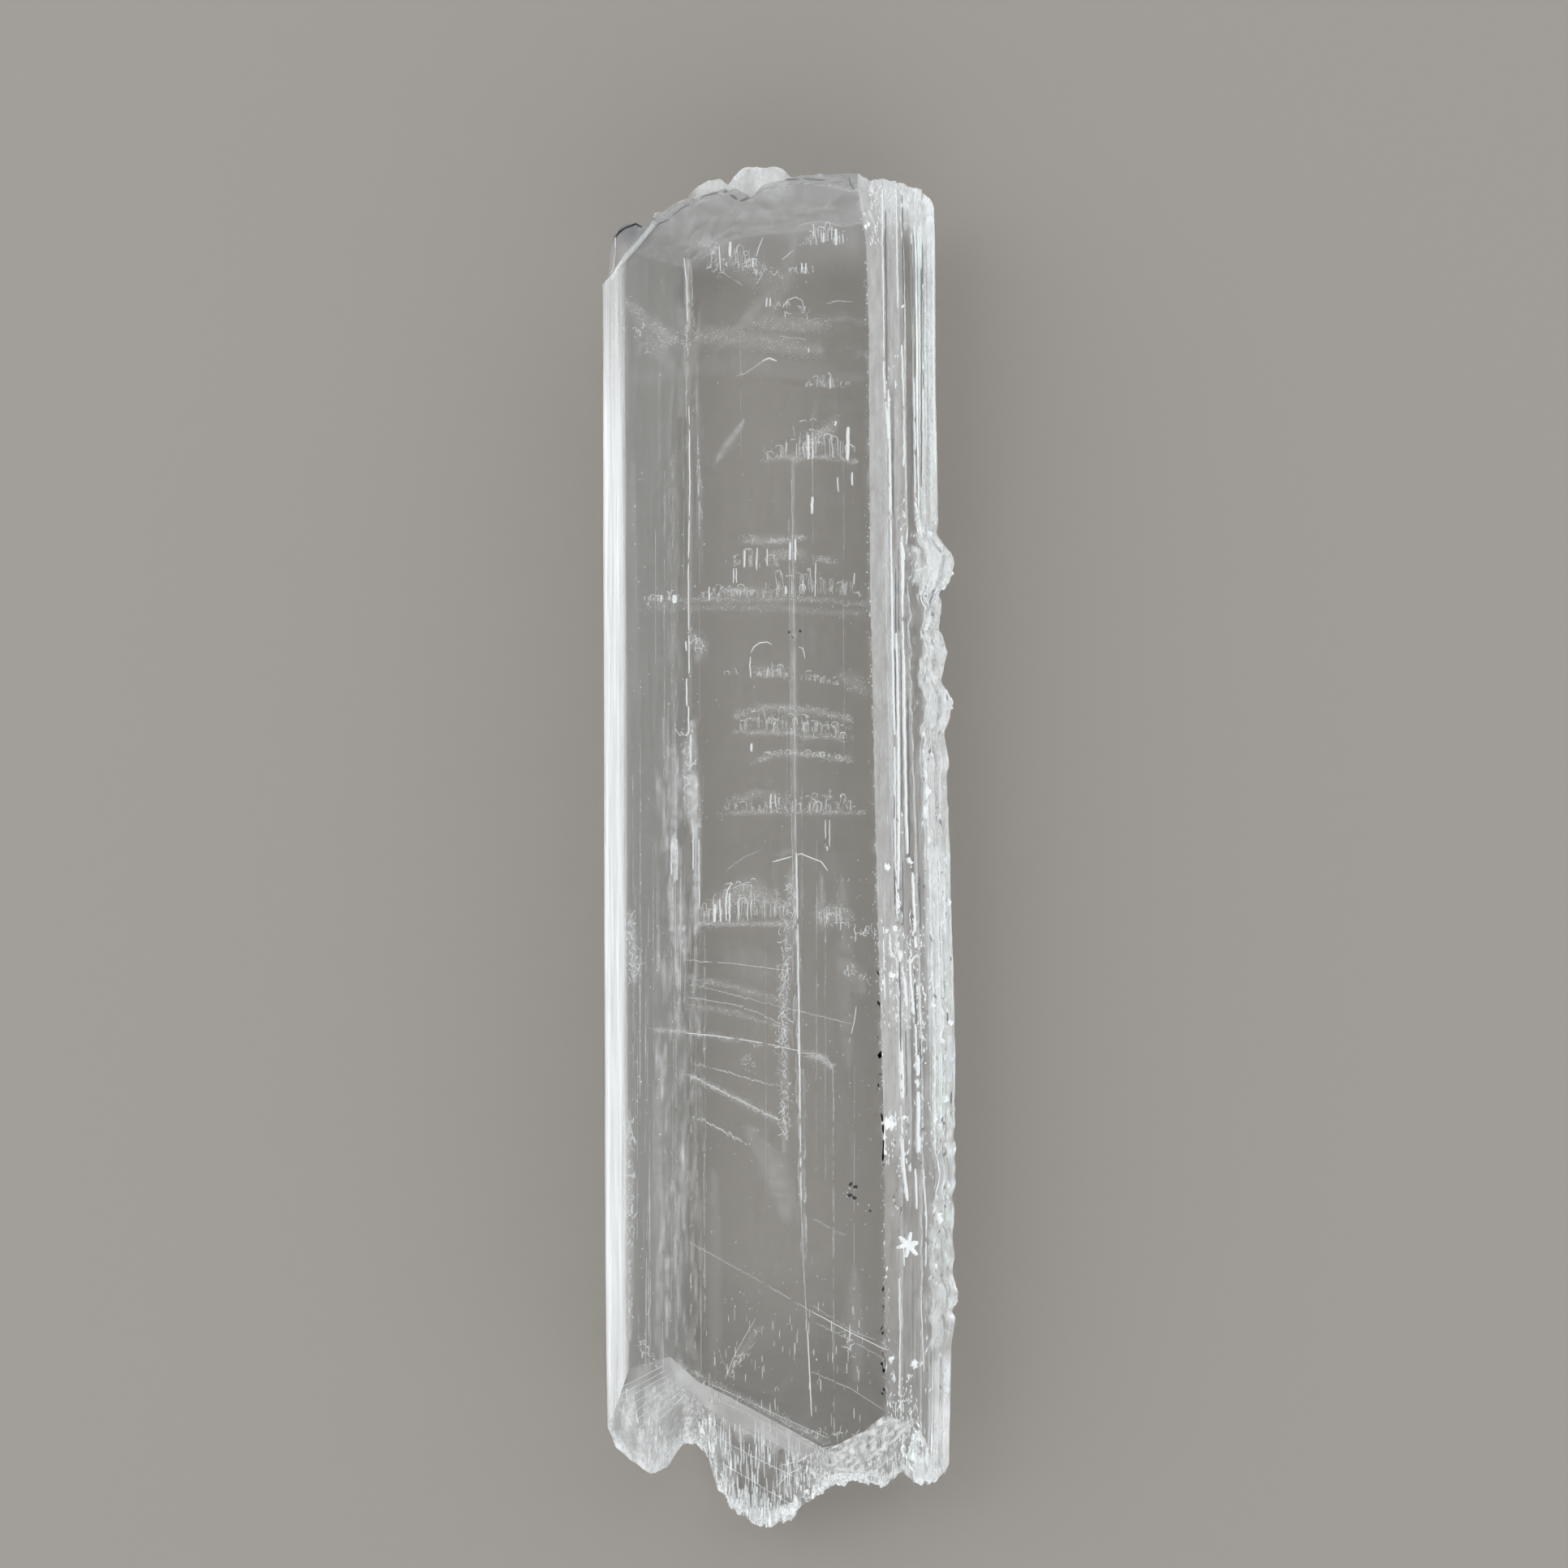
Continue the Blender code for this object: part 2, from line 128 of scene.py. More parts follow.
TOP_FRONT = (
    (-13.0, 45.6), (-9.4, 45.8), (-8.0, 46.7), (-4.6, 47.9), (-3.4, 48.0), (-2.3, 47.3), (-1.3, 48.3),
    (1.5, 48.9), (5.0, 49.0), (10.1, 49.2), (11.0, 48.7), (11.4, 47.6), (13.0, 45.6),
)
TOP_PLATES = (
    (-13.0, 44.4), (-12.4, 45.4), (-11.7, 46.1), (-10.9, 46.4), (-10.1, 46.15), (-9.2, 46.8), (-8.3, 46.8),
    (-8.1, 47.3), (-7.0, 47.7), (-6.3, 48.5), (-5.4, 49.1), (-4.4, 49.15), (-3.9, 48.7), (-3.6, 49.3),
    (-3.1, 49.8), (-2.4, 50.05), (-1.2, 49.95), (-0.6, 50.05), (0.1, 49.8), (0.5, 49.3), (5.0, 48.9),
    (7.9, 49.2), (10.1, 49.3), (11.0, 48.8), (11.4, 47.8), (13.0, 46.0),
)
TOP_BACK = ((-13.0, 41.8), (-6.9, 43.4), (-3.9, 45.6), (5.8, 46.8), (13.0, 45.0))
PLATES_FRONT_DEPTH = 2.3
PLATES_BACK_DEPTH = ((1.0, 4.3), (6.0, 7.2))
PLATES_DROP = 0.35
PLATES_FOOT = 1.2
PLATES_FOOT_SHARE = 0.45
CORNER_BREAK = ((-13.0, 41.1), (-9.4, 45.8), (-9.0, 60.0))
CORNER_LEDGE_DEPTH = 3.2
CORNER_LEDGE_RAMP = 0.3
CORNER_SLOPE = 0.15
TOP_WAVE_HEIGHT = 0.12
TOP_WAVE_SIZE = 3.5
TOP_CHIP_HEIGHT = 0.12
TOP_CHIP_SIZE = 0.5
TOP_CHIP_BY_DEPTH = ((4.6, 1.0), (5.6, 0.0))

BOTTOM_FRONT = (
    (-13.0, -37.6), (-10.5, -36.9), (-8.1, -36.2), (-6.1, -38.0), (-3.8, -39.1), (3.2, -42.9), (5.6, -41.7),
    (7.9, -40.0), (9.6, -38.6), (13.0, -37.8),
)
BOTTOM_FACET = (
    (-13.0, -38.6), (-8.1, -37.6), (-5.0, -40.7), (-3.2, -41.8), (0.9, -43.8), (2.2, -44.7), (5.0, -45.3),
    (7.7, -43.6), (9.5, -41.6), (13.0, -41.0),
)
BOTTOM_LOBES = (
    (-13.0, -42.5), (-11.8, -43.9), (-9.6, -45.6), (-8.5, -45.2), (-7.2, -43.6), (-6.3, -43.8), (-5.5, -44.9),
    (-4.9, -47.0), (-3.7, -48.8), (-2.2, -49.9), (-0.9, -50.2), (0.6, -49.5), (1.3, -48.6), (2.4, -47.9),
    (3.7, -47.1), (5.2, -46.7), (7.2, -47.1), (8.4, -46.6), (8.7, -46.0), (9.4, -46.7), (10.9, -47.1),
    (11.8, -46.4), (12.9, -44.6),
)
FACET_DEPTH = ((-13.0, 0.6), (-8.1, 0.7), (-5.0, 3.0), (13.0, 3.6))
LOBE_DEPTH = ((-13.0, 3.2), (-10.0, 3.8), (-6.0, 6.2), (13.0, 6.6))
UNDERSIDE_DEPTH = 9.6
UNDERSIDE_RETREAT = 1.5
FIBRE_WIDTH = 0.26
FIBRE_BUNDLE = 0.8
FIBRE_LEVEL = 0.6
FIBRE_RAGGEDNESS = 0.5
TIP_RAGGEDNESS = 0.26
RAGGEDNESS_ACROSS = ((-13.0, 0.15), (-7.0, 0.25), (-5.5, 0.9), (2.0, 1.0), (12.0, 0.8))
LEDGE_RUN = 0.5

END_POINT_SPACING = 0.2
END_DEPTH_SPACING = 0.22
END_POINT_MARGIN = 0.08
END_POINT_WANDER = 0.04
END_POINT_WANDER_LENGTH = 0.7
KEEP_INSIDE_ONLY = 1
MERGE_DISTANCE = 1e-6
SHARP_ANGLE = math.radians(28.0)
SURFACES = ("front", "striated", "right_back", "back", "groove", "left_back", "left_front", "top", "bottom")

LEFT_PATTERN = 1.0
EDGE_PATTERN = 2.0
STRIATION_PATTERN = 3.0
CRUMBLE_PATTERN = 5.0
BACK_SIDE_PATTERN = 6.0
FINE_CRUMBLE_PATTERN = 7.0
POINT_PATTERN = 9.0
TOP_PATTERN = 20.0
BOTTOM_PATTERN = 40.0


def along(profile, place):
    """Value of a profile of (place, value) pairs at one place; beyond its ends it stays level."""
    places, values = zip(*profile)
    return float(interp(place, places, values))


def wander(across, lengthwise, pattern, size):
    """Smooth noise between -1 and 1 whose lumps are about the given size."""
    return noise.noise(Vector((across / size, lengthwise / size, pattern)))


def limited(value, low=0.0, high=1.0):
    return min(high, max(low, value))


# ---------------------------------------------------------------- the crystal's mesh
def crumbling(y, depth):
    """How crumbled the right side is at a place: from 0, not at all, to 1."""
    return along(CRUMBLE, y) * along(CRUMBLE_BY_DEPTH, depth)


def lump_height(y, depth):
    """How far the crumbled lumps push the right side outwards."""
    height = 0.0
    for lump_y, lump_depth, reach_y, reach_depth, lump_size in LUMPS:
        distance = ((y - lump_y) / reach_y) ** 2 + ((depth - lump_depth) / reach_depth) ** 2
        height += lump_size * max(0.0, 1.0 - distance)
    coarse = CRUMBLE_HEIGHT * wander(depth, y, CRUMBLE_PATTERN, CRUMBLE_SIZE)
    fine = FINE_CRUMBLE_HEIGHT * wander(depth, y, FINE_CRUMBLE_PATTERN, FINE_CRUMBLE_SIZE)
    return height + crumbling(y, depth) * (coarse + fine)


def front_left_x(y):
    return along(LEFT_RIDGE, y) + SIDE_RUN * LEFT_RIDGE_DEPTH


def front_right_x(y):
    stray = FRONT_EDGE_WANDER * wander(0.0, y, EDGE_PATTERN, FRONT_EDGE_WANDER_LENGTH)
    return along(FRONT_RIGHT_EDGE, y) + stray


def back_left_x(y):
    return along(LEFT_RIDGE, y) + SIDE_RUN * (THICKNESS - LEFT_RIDGE_DEPTH)


def back_right_x(y):
    return along(RIGHT_RIDGE, y) - SIDE_RUN * (THICKNESS - RIGHT_RIDGE_DEPTH)


def left_side(depth):
    """A place on the left side: out from the front edge to the ridge, then in towards the back."""
    def place(y):
        run = SIDE_RUN * abs(depth - LEFT_RIDGE_DEPTH)
        spread = depth * BEVEL_SPREAD
        stray = BEVEL_WANDER * wander(spread, y * STRIATION_STRETCH, LEFT_PATTERN, WANDER_LENGTH)
        return along(LEFT_RIDGE, y) + run + stray, THICKNESS - depth
    return place


def striated_side(share_out, share_deep):
    """A place on the stepped right side, between the front edge and the right ridge."""
    def place(y):
        start = front_right_x(y)
        depth = share_deep * RIGHT_RIDGE_DEPTH
        x = start + share_out * (along(RIGHT_RIDGE, y) - start)
        spread = share_out * STRIATION_SPREAD
        x += STRIATION_WANDER * wander(spread, y * STRIATION_STRETCH, STRIATION_PATTERN, WANDER_LENGTH)
        return x + lump_height(y, depth), THICKNESS - depth
    return place


def right_back_side(depth):
    """A place on the right side, between the right ridge and the back face."""
    def place(y):
        x = along(RIGHT_RIDGE, y) - SIDE_RUN * (depth - RIGHT_RIDGE_DEPTH)
        spread = depth * BACK_SIDE_SPREAD
        x += BACK_SIDE_WANDER * wander(spread, y * STRIATION_STRETCH, BACK_SIDE_PATTERN, WANDER_LENGTH)
        return x + lump_height(y, depth), THICKNESS - depth
    return place


def flat_face(left, right, share, z):
    """A place on a broad face, a share of the way from one of its long edges to the other."""
    def place(y):
        return left(y) + share * (right(y) - left(y)), z
    return place


def groove_place(offset, height):
    """A place on the shallow groove along the back face."""
    def place(y):
        return along(GROOVE, y) + offset, height * along(GROOVE_FADE, y)
    return place


def fine_striations():
    """The steps of the striated side, each split into narrow striations with a little relief of their own."""
    chance = random.Random(SEED)
    steps = []
    for (out, deep), (next_out, next_deep) in zip(STRIATION_STEPS, STRIATION_STEPS[1:]):
        parts = max(1, round((next_out - out) / STRIATION_SPACING))
        for part in range(parts):
            share = part / parts
            relief = STRIATION_RELIEF * chance.uniform(-1.0, 1.0) if part else 0.0
            steps.append((out + share * (next_out - out), deep + share * (next_deep - deep) + relief))
    steps.append(STRIATION_STEPS[-1])
    return steps


def shares_across(width, start=0.0, end=1.0):
    """Even shares across a broad face, strictly between two of its shares."""
    count = max(2, round(width * (end - start) / END_POINT_SPACING))
    return linspace(start, end, count + 1)[1:-1]


def front_face_places():
    """The places across the front face, from left to right, closer together beside the bevel."""
    width = front_right_x(0.0) - front_left_x(0.0)
    shares = (0.0, *FRONT_SHARES_LEFT, *shares_across(width, FRONT_SHARES_LEFT[-1]))
    return [(flat_face(front_left_x, front_right_x, share, THICKNESS), True, "front") for share in shares]


def section_ring():
    """The places round the section: each with whether a long edge follows it, and the surface after it."""
    ring = front_face_places()
    ring.append((flat_face(front_left_x, front_right_x, 1.0, THICKNESS), True, "striated"))
    for share_out, share_deep in fine_striations()[1:]:
        ring.append((striated_side(share_out, share_deep), True, "striated"))
    for depth in RIGHT_BACK_DEPTHS:
        ring.append((right_back_side(depth), True, "right_back"))
    ring.append((flat_face(back_right_x, back_left_x, 0.0, 0.0), True, "back"))
    ring.extend(back_face_places())
    ring.append((flat_face(back_right_x, back_left_x, 1.0, 0.0), True, "left_back"))
    for depth in reversed(LEFT_BACK_DEPTHS):
        ring.append((left_side(depth), True, "left_back"))
    ring.append((left_side(LEFT_RIDGE_DEPTH), True, "left_front"))
    for depth in reversed(LEFT_FRONT_DEPTHS):
        ring.append((left_side(depth), True, "left_front"))
    return ring


def back_face_places():
    """The places across the back face, from right to left, with the groove in the middle."""
    right_lip = groove_place(GROOVE_HALF_WIDTH, 0.0)
    left_lip = groove_place(-GROOVE_HALF_WIDTH, 0.0)
    places = []
    for share in shares_across(back_right_x(0.0) - along(GROOVE, 0.0)):
        places.append((flat_face(back_right_x, lambda y: right_lip(y)[0], share, 0.0), False, "back"))
    places.append((right_lip, True, "groove"))
    places.append((groove_place(0.0, GROOVE_DEPTH), True, "groove"))
    places.append((left_lip, True, "back"))
    for share in shares_across(along(GROOVE, 0.0) - back_left_x(0.0)):
        places.append((flat_face(lambda y: left_lip(y)[0], back_left_x, share, 0.0), False, "back"))
    return places


def raggedness(x, z, pattern):
    """How far the fibres, single and in bundles, stand out at a place in the section: from -1 to 1."""
    fibre = noise.cell(Vector((x / FIBRE_WIDTH, z / FIBRE_WIDTH, pattern)))
    bundle = noise.cell(Vector((x / FIBRE_BUNDLE, z / FIBRE_BUNDLE, pattern + 1.0)))
    return (fibre + bundle) / 2.0


def top_height(x, z):
    """Y of the broken top end at a place in the section."""
    depth = THICKNESS - z
    front = along(TOP_FRONT, x)
    plates = along(TOP_PLATES, x)
    back = along(TOP_BACK, x)
    plates_back = along(PLATES_BACK_DEPTH, x)
    foot = back + PLATES_FOOT_SHARE * (plates - back)
    levels = ((0.0, front), (PLATES_FRONT_DEPTH - PLATES_DROP, front - PLATES_DROP),
              (PLATES_FRONT_DEPTH, plates), (plates_back, plates - PLATES_DROP),
              (plates_back + PLATES_FOOT, foot), (THICKNESS, back))
    y = along(levels, depth)
    ledge_end = CORNER_LEDGE_DEPTH + CORNER_LEDGE_RAMP
    break_share = along(((CORNER_LEDGE_DEPTH, 1.0), (ledge_end, 0.0)), depth)
    break_y = along(CORNER_BREAK, x) + CORNER_SLOPE * depth
    y += break_share * min(0.0, break_y - y)
    wave = TOP_WAVE_HEIGHT * wander(x, z, TOP_PATTERN, TOP_WAVE_SIZE)
    chip = TOP_CHIP_HEIGHT * wander(x, z, TOP_PATTERN + 1.0, TOP_CHIP_SIZE)
    return y + wave - TOP_WAVE_HEIGHT + chip * along(TOP_CHIP_BY_DEPTH, depth)


def bottom_height(x, z):
    """Y of the bottom end: a facet under the front face, a fibrous ledge, and the lobes' ragged tips."""
    depth = THICKNESS - z
    facet_depth = along(FACET_DEPTH, x)
    lobe_depth = along(LOBE_DEPTH, x)
    lobes = along(BOTTOM_LOBES, x)
    levels = ((0.0, along(BOTTOM_FRONT, x)), (facet_depth, along(BOTTOM_FACET, x)), (lobe_depth, lobes),
              (UNDERSIDE_DEPTH, lobes), (THICKNESS, lobes + UNDERSIDE_RETREAT))
    ragged = along(((facet_depth, 0.0), (facet_depth + LEDGE_RUN, FIBRE_RAGGEDNESS),
                    (lobe_depth, FIBRE_RAGGEDNESS), (lobe_depth + LEDGE_RUN, TIP_RAGGEDNESS)), depth)
    ragged *= along(RAGGEDNESS_ACROSS, x)
    return along(levels, depth) + ragged * (FIBRE_LEVEL + raggedness(x, z, BOTTOM_PATTERN))


def end_point(place, height, start_y):
    """The point of an end surface where a long edge or a broad face reaches it."""
    x, z = place(start_y)
    y = height(x, z)
    x, z = place(y)
    return Vector((x, height(x, z), z))


def edge_points(place, bottom, top):
    """Points of one long edge, from its place on the bottom end to its place on the top end."""
    rows = list(arange(BODY_START, BODY_END, ROW_STEP))
    lower = [bottom.y + (rows[0] - bottom.y) * step / END_ROWS for step in range(1, END_ROWS)]
    upper = [rows[-1] + (top.y - rows[-1]) * step / END_ROWS for step in range(1, END_ROWS)]
    points = [bottom]
    for y in lower + rows + upper:
        x, z = place(y)
        points.append(Vector((x, y, z)))
    points.append(top)
    return points


def edges_of(outline):
    """The outline's edges, as pairs of points."""
    return list(zip(outline, outline[1:] + outline[:1]))


def crossing_places(z, edges):
    """Where a level line crosses an outline's edges, from left to right."""
    crossings = []
    for start, end in edges:
        if (start.y > z) != (end.y > z):
            crossings.append(start.x + (z - start.y) * (end.x - start.x) / (end.y - start.y))
    return sorted(crossings)


def inner_points(boundary, height):
    """Points inside an end surface, kept clear of its boundary."""
    edges = edges_of([Vector((point.x, point.z)) for point in boundary])
    points = []
    for z in arange(END_DEPTH_SPACING / 2.0, THICKNESS, END_DEPTH_SPACING):
        crossings = crossing_places(z, edges)
        for left, right in zip(crossings[::2], crossings[1::2]):
            for x in arange(left + END_POINT_MARGIN, right - END_POINT_MARGIN, END_POINT_SPACING):
                shifted = x + END_POINT_WANDER * wander(x, z, POINT_PATTERN, END_POINT_WANDER_LENGTH)
                points.append(Vector((shifted, height(shifted, z), z)))
    return points


def add_end_surface(mesh, boundary_verts, height, surface):
    """Fill one broken end with triangles between its boundary and the points inside it."""
    surfaces = mesh.faces.layers.int["surface"]
    boundary = [vert.co for vert in boundary_verts]
    extra = [mesh.verts.new(point) for point in inner_points(boundary, height)]
    verts = boundary_verts + extra
    flat = [Vector((vert.co.x, vert.co.z)) for vert in verts]
    count = len(boundary_verts)
    rim = [(index, (index + 1) % count) for index in range(count)]
    triangles = geometry.delaunay_2d_cdt(flat, rim, [], KEEP_INSIDE_ONLY, MERGE_DISTANCE)[2]
    for triangle in triangles:
        face = mesh.faces.new([verts[index] for index in triangle])
        face[surfaces] = SURFACES.index(surface)


def add_side_surfaces(mesh, ring, edges, bottom_rim, top_rim):
    """Join neighbouring long edges by strips, and fill each broad face with one flat face."""
    surfaces = mesh.faces.layers.int["surface"]
    corners = [index for index, (place, runs, surface) in enumerate(ring) if runs]
    for start, end in zip(corners, corners[1:] + corners[:1]):
        near = edges[start]
        far = edges[end]
        surface = SURFACES.index(ring[start][2])
        if (end - start) % len(ring) == 1:
            for row in range(len(near) - 1):
                face = mesh.faces.new((near[row], near[row + 1], far[row + 1], far[row]))
                face[surfaces] = surface
        else:
            face = mesh.faces.new(near + top_rim[start + 1:end] + far[::-1] + bottom_rim[start + 1:end][::-1])
            face[surfaces] = surface


def build_crystal():
    """The whole crystal as one closed mesh in millimetres, with each face's surface noted."""
    mesh = bmesh.new()
    mesh.faces.layers.int.new("surface")
    ring = section_ring()
    bottom_rim = []
    top_rim = []
    edges = {}
    for index, (place, runs, surface) in enumerate(ring):
        bottom = end_point(place, bottom_height, BODY_START)
        top = end_point(place, top_height, BODY_END)
        points = edge_points(place, bottom, top) if runs else [bottom, top]
        verts = [mesh.verts.new(point) for point in points]
        bottom_rim.append(verts[0])
        top_rim.append(verts[-1])
        edges[index] = verts
    add_side_surfaces(mesh, ring, edges, bottom_rim, top_rim)
    add_end_surface(mesh, bottom_rim, bottom_height, "bottom")
    add_end_surface(mesh, top_rim, top_height, "top")
    bmesh.ops.triangulate(mesh, faces=mesh.faces[:])
    bmesh.ops.recalc_face_normals(mesh, faces=mesh.faces[:])
    return mesh


# ---------------------------------------------------------------- where the crystal is frosted
# The striated side is glassy, with strips of other frost laid on in this order: lowest and highest y,
# where each starts and ends across the side, from its front edge, 0, to its ridge, 1, and its frost
SIDE_GROUND_FROST = 0.16
SIDE_STRIPS = (
    (-21.0, 60.0, -0.1, 0.47, 0.36),   # satin panels beside the front face
    (8.0, 46.0, 0.54, 0.76, 0.04),     # the clear strip
    (-6.0, 8.0, 0.38, 0.56, 0.08),     # its narrow foot
    (8.0, 60.0, 0.78, 1.1, 0.26),      # satin outer edge
    (-21.0, 8.0, 0.62, 1.1, 0.36),     # rough outer part
    (46.0, 60.0, -0.1, 1.1, 0.5),      # broken top
)
STRIP_BLEND_ALONG = 3.0
STRIP_BLEND_ACROSS = 0.06
# Grains of the frost: strength, stretch across and along the blade, pattern of the noise, and size
WAVER_GRAIN = (0.02, 1.0, 1.0, 20.0, 2.5)
COARSE_GRAIN = (0.12, 2.0, 0.5, 11.0, 0.9)
FINE_GRAIN = (0.08, 2.0, 1.0, 11.0, 0.35)
TOP_HAZE_WAVER = (1.3, 0.6, 1.0, 18.0, 3.0)
TOP_HAZE_GRAIN = (0.35, 0.5, 1.6, 51.0, 1.2)
WIDE_PANELS = (1.0, 3.2, 0.3, 61.0, 1.0)
NARROW_PANELS = (0.7, 5.0, 0.9, 62.0, 1.0)
HAZE_GRAIN = (0.9, 0.7, 2.0, 53.0, 0.8)
FINE_HAZE_GRAIN = (0.5, 2.0, 3.0, 54.0, 0.6)
FACET_GRAIN = (0.12, 1.0, 0.6, 15.0, 1.0)
ARM_GRAIN = (0.7, 2.0, 2.0, 71.0, 0.8)
LOBE_GRAIN = (0.3, 1.5, 0.4, 16.0, 1.0)
TOP_GRAIN = (0.2, 1.0, 1.0, 14.0, 0.9)
RIGHT_EDGE_GRAIN = (1.0, 1.0, 1.0, 16.0, 1.2)
# Narrow clear lines between the panels: place across the side, lowest and highest y
CLEAR_LINES = ((0.26, 33.0, 45.0), (0.54, 33.0, 45.0), (0.34, 22.0, 33.0), (0.42, -22.0, -12.0))
CLEAR_LINE_HALF_WIDTH = 0.035
# The left bevel: satin, thinner at its two edges and towards the ends, with two whiter stripes
BEVEL_FROST = ((-42.0, 0.7), (-30.0, 0.95), (30.0, 1.0), (40.5, 0.5))
BEVEL_SATIN = ((0.0, 0.24), (0.6, 0.7), (2.4, 0.72), (2.6, 0.3))
# Depth of each stripe, its half width and how much whiter it is
BEVEL_STRIPES = ((0.95, 0.3, 0.16), (2.22, 0.25, 0.28))
# A thin veil under the left of the front face, denser right at its edge
VEIL = ((0.0, 0.1), (0.2, 0.06), (0.24, 0.0))
VEIL_EDGE = 0.1
VEIL_EDGE_REACH = 0.006
LUMP_FROST = 0.3
LUMP_FROST_RATE = 1.6
# The right edge of the front face: its frost, how much of the edge has it, and how far in it reaches
RIGHT_EDGE_FROST = 0.3
RIGHT_EDGE_LEVEL = 0.2
RIGHT_EDGE_REACH = ((0.985, 0.0), (1.0, 1.0))
# Hazes just under the front face: the pixels that each follows, its width in pixels and its strength
HAZES = (
    (((756, 360), (800, 396), (838, 426)), 20, 0.07),
    (((790, 428), (850, 414), (900, 414), (960, 424), (1010, 432)), 34, 0.06),
    (((850, 412), (930, 420), (1000, 426)), 12, 0.06), (((925, 398), (1020, 400)), 26, 0.07),
    (((885, 430), (925, 388), (952, 355)), 18, 0.07), (((870, 300), (930, 335), (970, 352)), 50, 0.05),
    (((940, 396), (965, 350), (980, 296)), 26, 0.05), (((838, 380), (848, 440), (840, 510)), 28, 0.08),
    (((780, 372), (800, 420), (845, 470)), 30, 0.05), (((1000, 398), (1040, 392), (1070, 398)), 12, 0.05),
    (((772, 470), (900, 446), (1062, 466)), 30, 0.03), (((880, 572), (900, 542), (916, 520)), 11, 0.16),
    (((940, 566), (1000, 562), (1056, 568)), 9, 0.1), (((982, 566), (1005, 540), (1030, 522)), 26, 0.09),
    (((912, 664), (950, 667), (992, 662)), 12, 0.12), (((948, 684), (990, 682)), 22, 0.07),
    (((892, 728), (934, 729)), 13, 0.12), (((795, 742), (900, 738), (1000, 738), (1066, 744)), 10, 0.07),
    (((788, 752), (880, 748), (980, 750), (1068, 758)), 13, 0.05),
    (((850, 782), (866, 796), (856, 812)), 20, 0.1), (((930, 824), (952, 830)), 18, 0.07),
    (((950, 826), (972, 832)), 14, 0.07), (((905, 882), (940, 872), (995, 874), (1048, 886)), 14, 0.09),
    (((905, 902), (960, 903), (1048, 911)), 9, 0.09),
    (((925, 940), (950, 931), (980, 927), (1000, 930), (1052, 938)), 9, 0.1),
    (((885, 1004), (950, 999), (1064, 1001)), 8, 0.09), (((898, 988), (930, 978), (968, 984)), 15, 0.07),
    (((862, 1134), (895, 1108), (925, 1098), (975, 1124)), 40, 0.08), (((860, 1138), (976, 1139)), 9, 0.12),
    (((1008, 1126), (1046, 1128)), 34, 0.08), (((1012, 1076), (1014, 1146)), 12, 0.08),
    (((1036, 1076), (1038, 1146)), 12, 0.06), (((852, 892), (848, 960), (858, 1030)), 24, 0.2),
    (((852, 955), (854, 1012)), 26, 0.3), (((830, 920), (832, 1020)), 18, 0.1),
    (((831, 1028), (832, 1086)), 12, 0.36), (((826, 1080), (828, 1160)), 10, 0.2),
    (((838, 1086), (838, 1215)), 24, 0.08), (((858, 1006), (858, 1150)), 13, 0.22),
    (((842, 1142), (842, 1180)), 16, 0.2), (((977, 560), (978, 850), (980, 1160)), 9, 0.12),
    (((974, 1075), (968, 1200), (967, 1420)), 16, 0.08), (((845, 1322), (900, 1350), (972, 1388)), 10, 0.11),
    (((838, 1204), (900, 1215), (968, 1234)), 12, 0.07), (((848, 1238), (905, 1248), (970, 1268)), 9, 0.07),
    (((985, 1298), (1010, 1302), (1026, 1314)), 11, 0.16), (((800, 1268), (850, 1272), (940, 1287)), 8, 0.08),
    (((925, 1395), (955, 1440), (970, 1500)), 40, 0.07), (((1036, 1180), (1062, 1222)), 36, 0.07),
    (((776, 1120), (782, 1210)), 17, 0.14), (((776, 1370), (776, 1650)), 14, 0.12),
    (((842, 1395), (842, 1510)), 14, 0.12), (((812, 1300), (812, 1660)), 22, 0.07),
    (((847, 320), (849, 408)), 9, 0.22), (((850, 480), (850, 880)), 8, 0.09),
    (((859, 470), (862, 700)), 8, 0.07), (((1005, 688), (1030, 693)), 10, 0.09),
    (((1046, 428), (1070, 440)), 14, 0.05), (((1036, 832), (1066, 852)), 26, 0.05),
    (((895, 1696), (935, 1636)), 14, 0.06), (((835, 1680), (960, 1748), (1022, 1780)), 14, 0.08),
    (((780, 560), (782, 700), (782, 860)), 16, 0.04), (((1040, 1090), (1045, 1310)), 30, 0.04),
    (((900, 1180), (960, 1200)), 50, 0.03), (((880, 1440), (880, 1710)), 26, 0.04),
    (((1052, 1560), (1056, 1700)), 30, 0.05),
)
# A haze's width at its ends as a share of its middle's, and how steeply its sides fade
HAZE_END_WIDTH = 0.45
HAZE_STEEPNESS = 1.5
TOP_HAZE = ((41.0, 0.0), (43.0, 0.06), (45.0, 0.14), (47.0, 0.17), (49.0, 0.15))
# The milky haze across the blade: little of it at the broken corner
TOP_HAZE_ACROSS = ((-12.0, 0.1), (-9.5, 0.45), (-8.0, 1.0), (5.0, 1.0), (6.5, 0.5))
TOP_CLEAR_END = 6.2
# Upright streaks under the front face: middle, half width, strength, lowest and highest y
STREAKS = (
    (-8.0, 1.4, 0.3, -38.0, 9.0),
    (-6.3, 0.6, 0.26, -38.0, 9.0),
    (-7.4, 2.4, 0.08, 9.0, 42.0),
    (1.0, 7.0, 0.03, -38.0, 40.0),
)
STREAK_BLEND = 8.0
PANEL_LEVEL = 0.12
# The corner beside the diagonal break, darkened by painted shade towards its top left, with the frost that
# comes with it
CORNER_SHADE = ((-12.6, 0.75), (-10.2, 0.65), (-9.0, 0.0))
CORNER_SHADE_ALONG = ((42.8, 0.0), (44.0, 0.55), (45.2, 1.0))
SHADE_FROST = 0.5
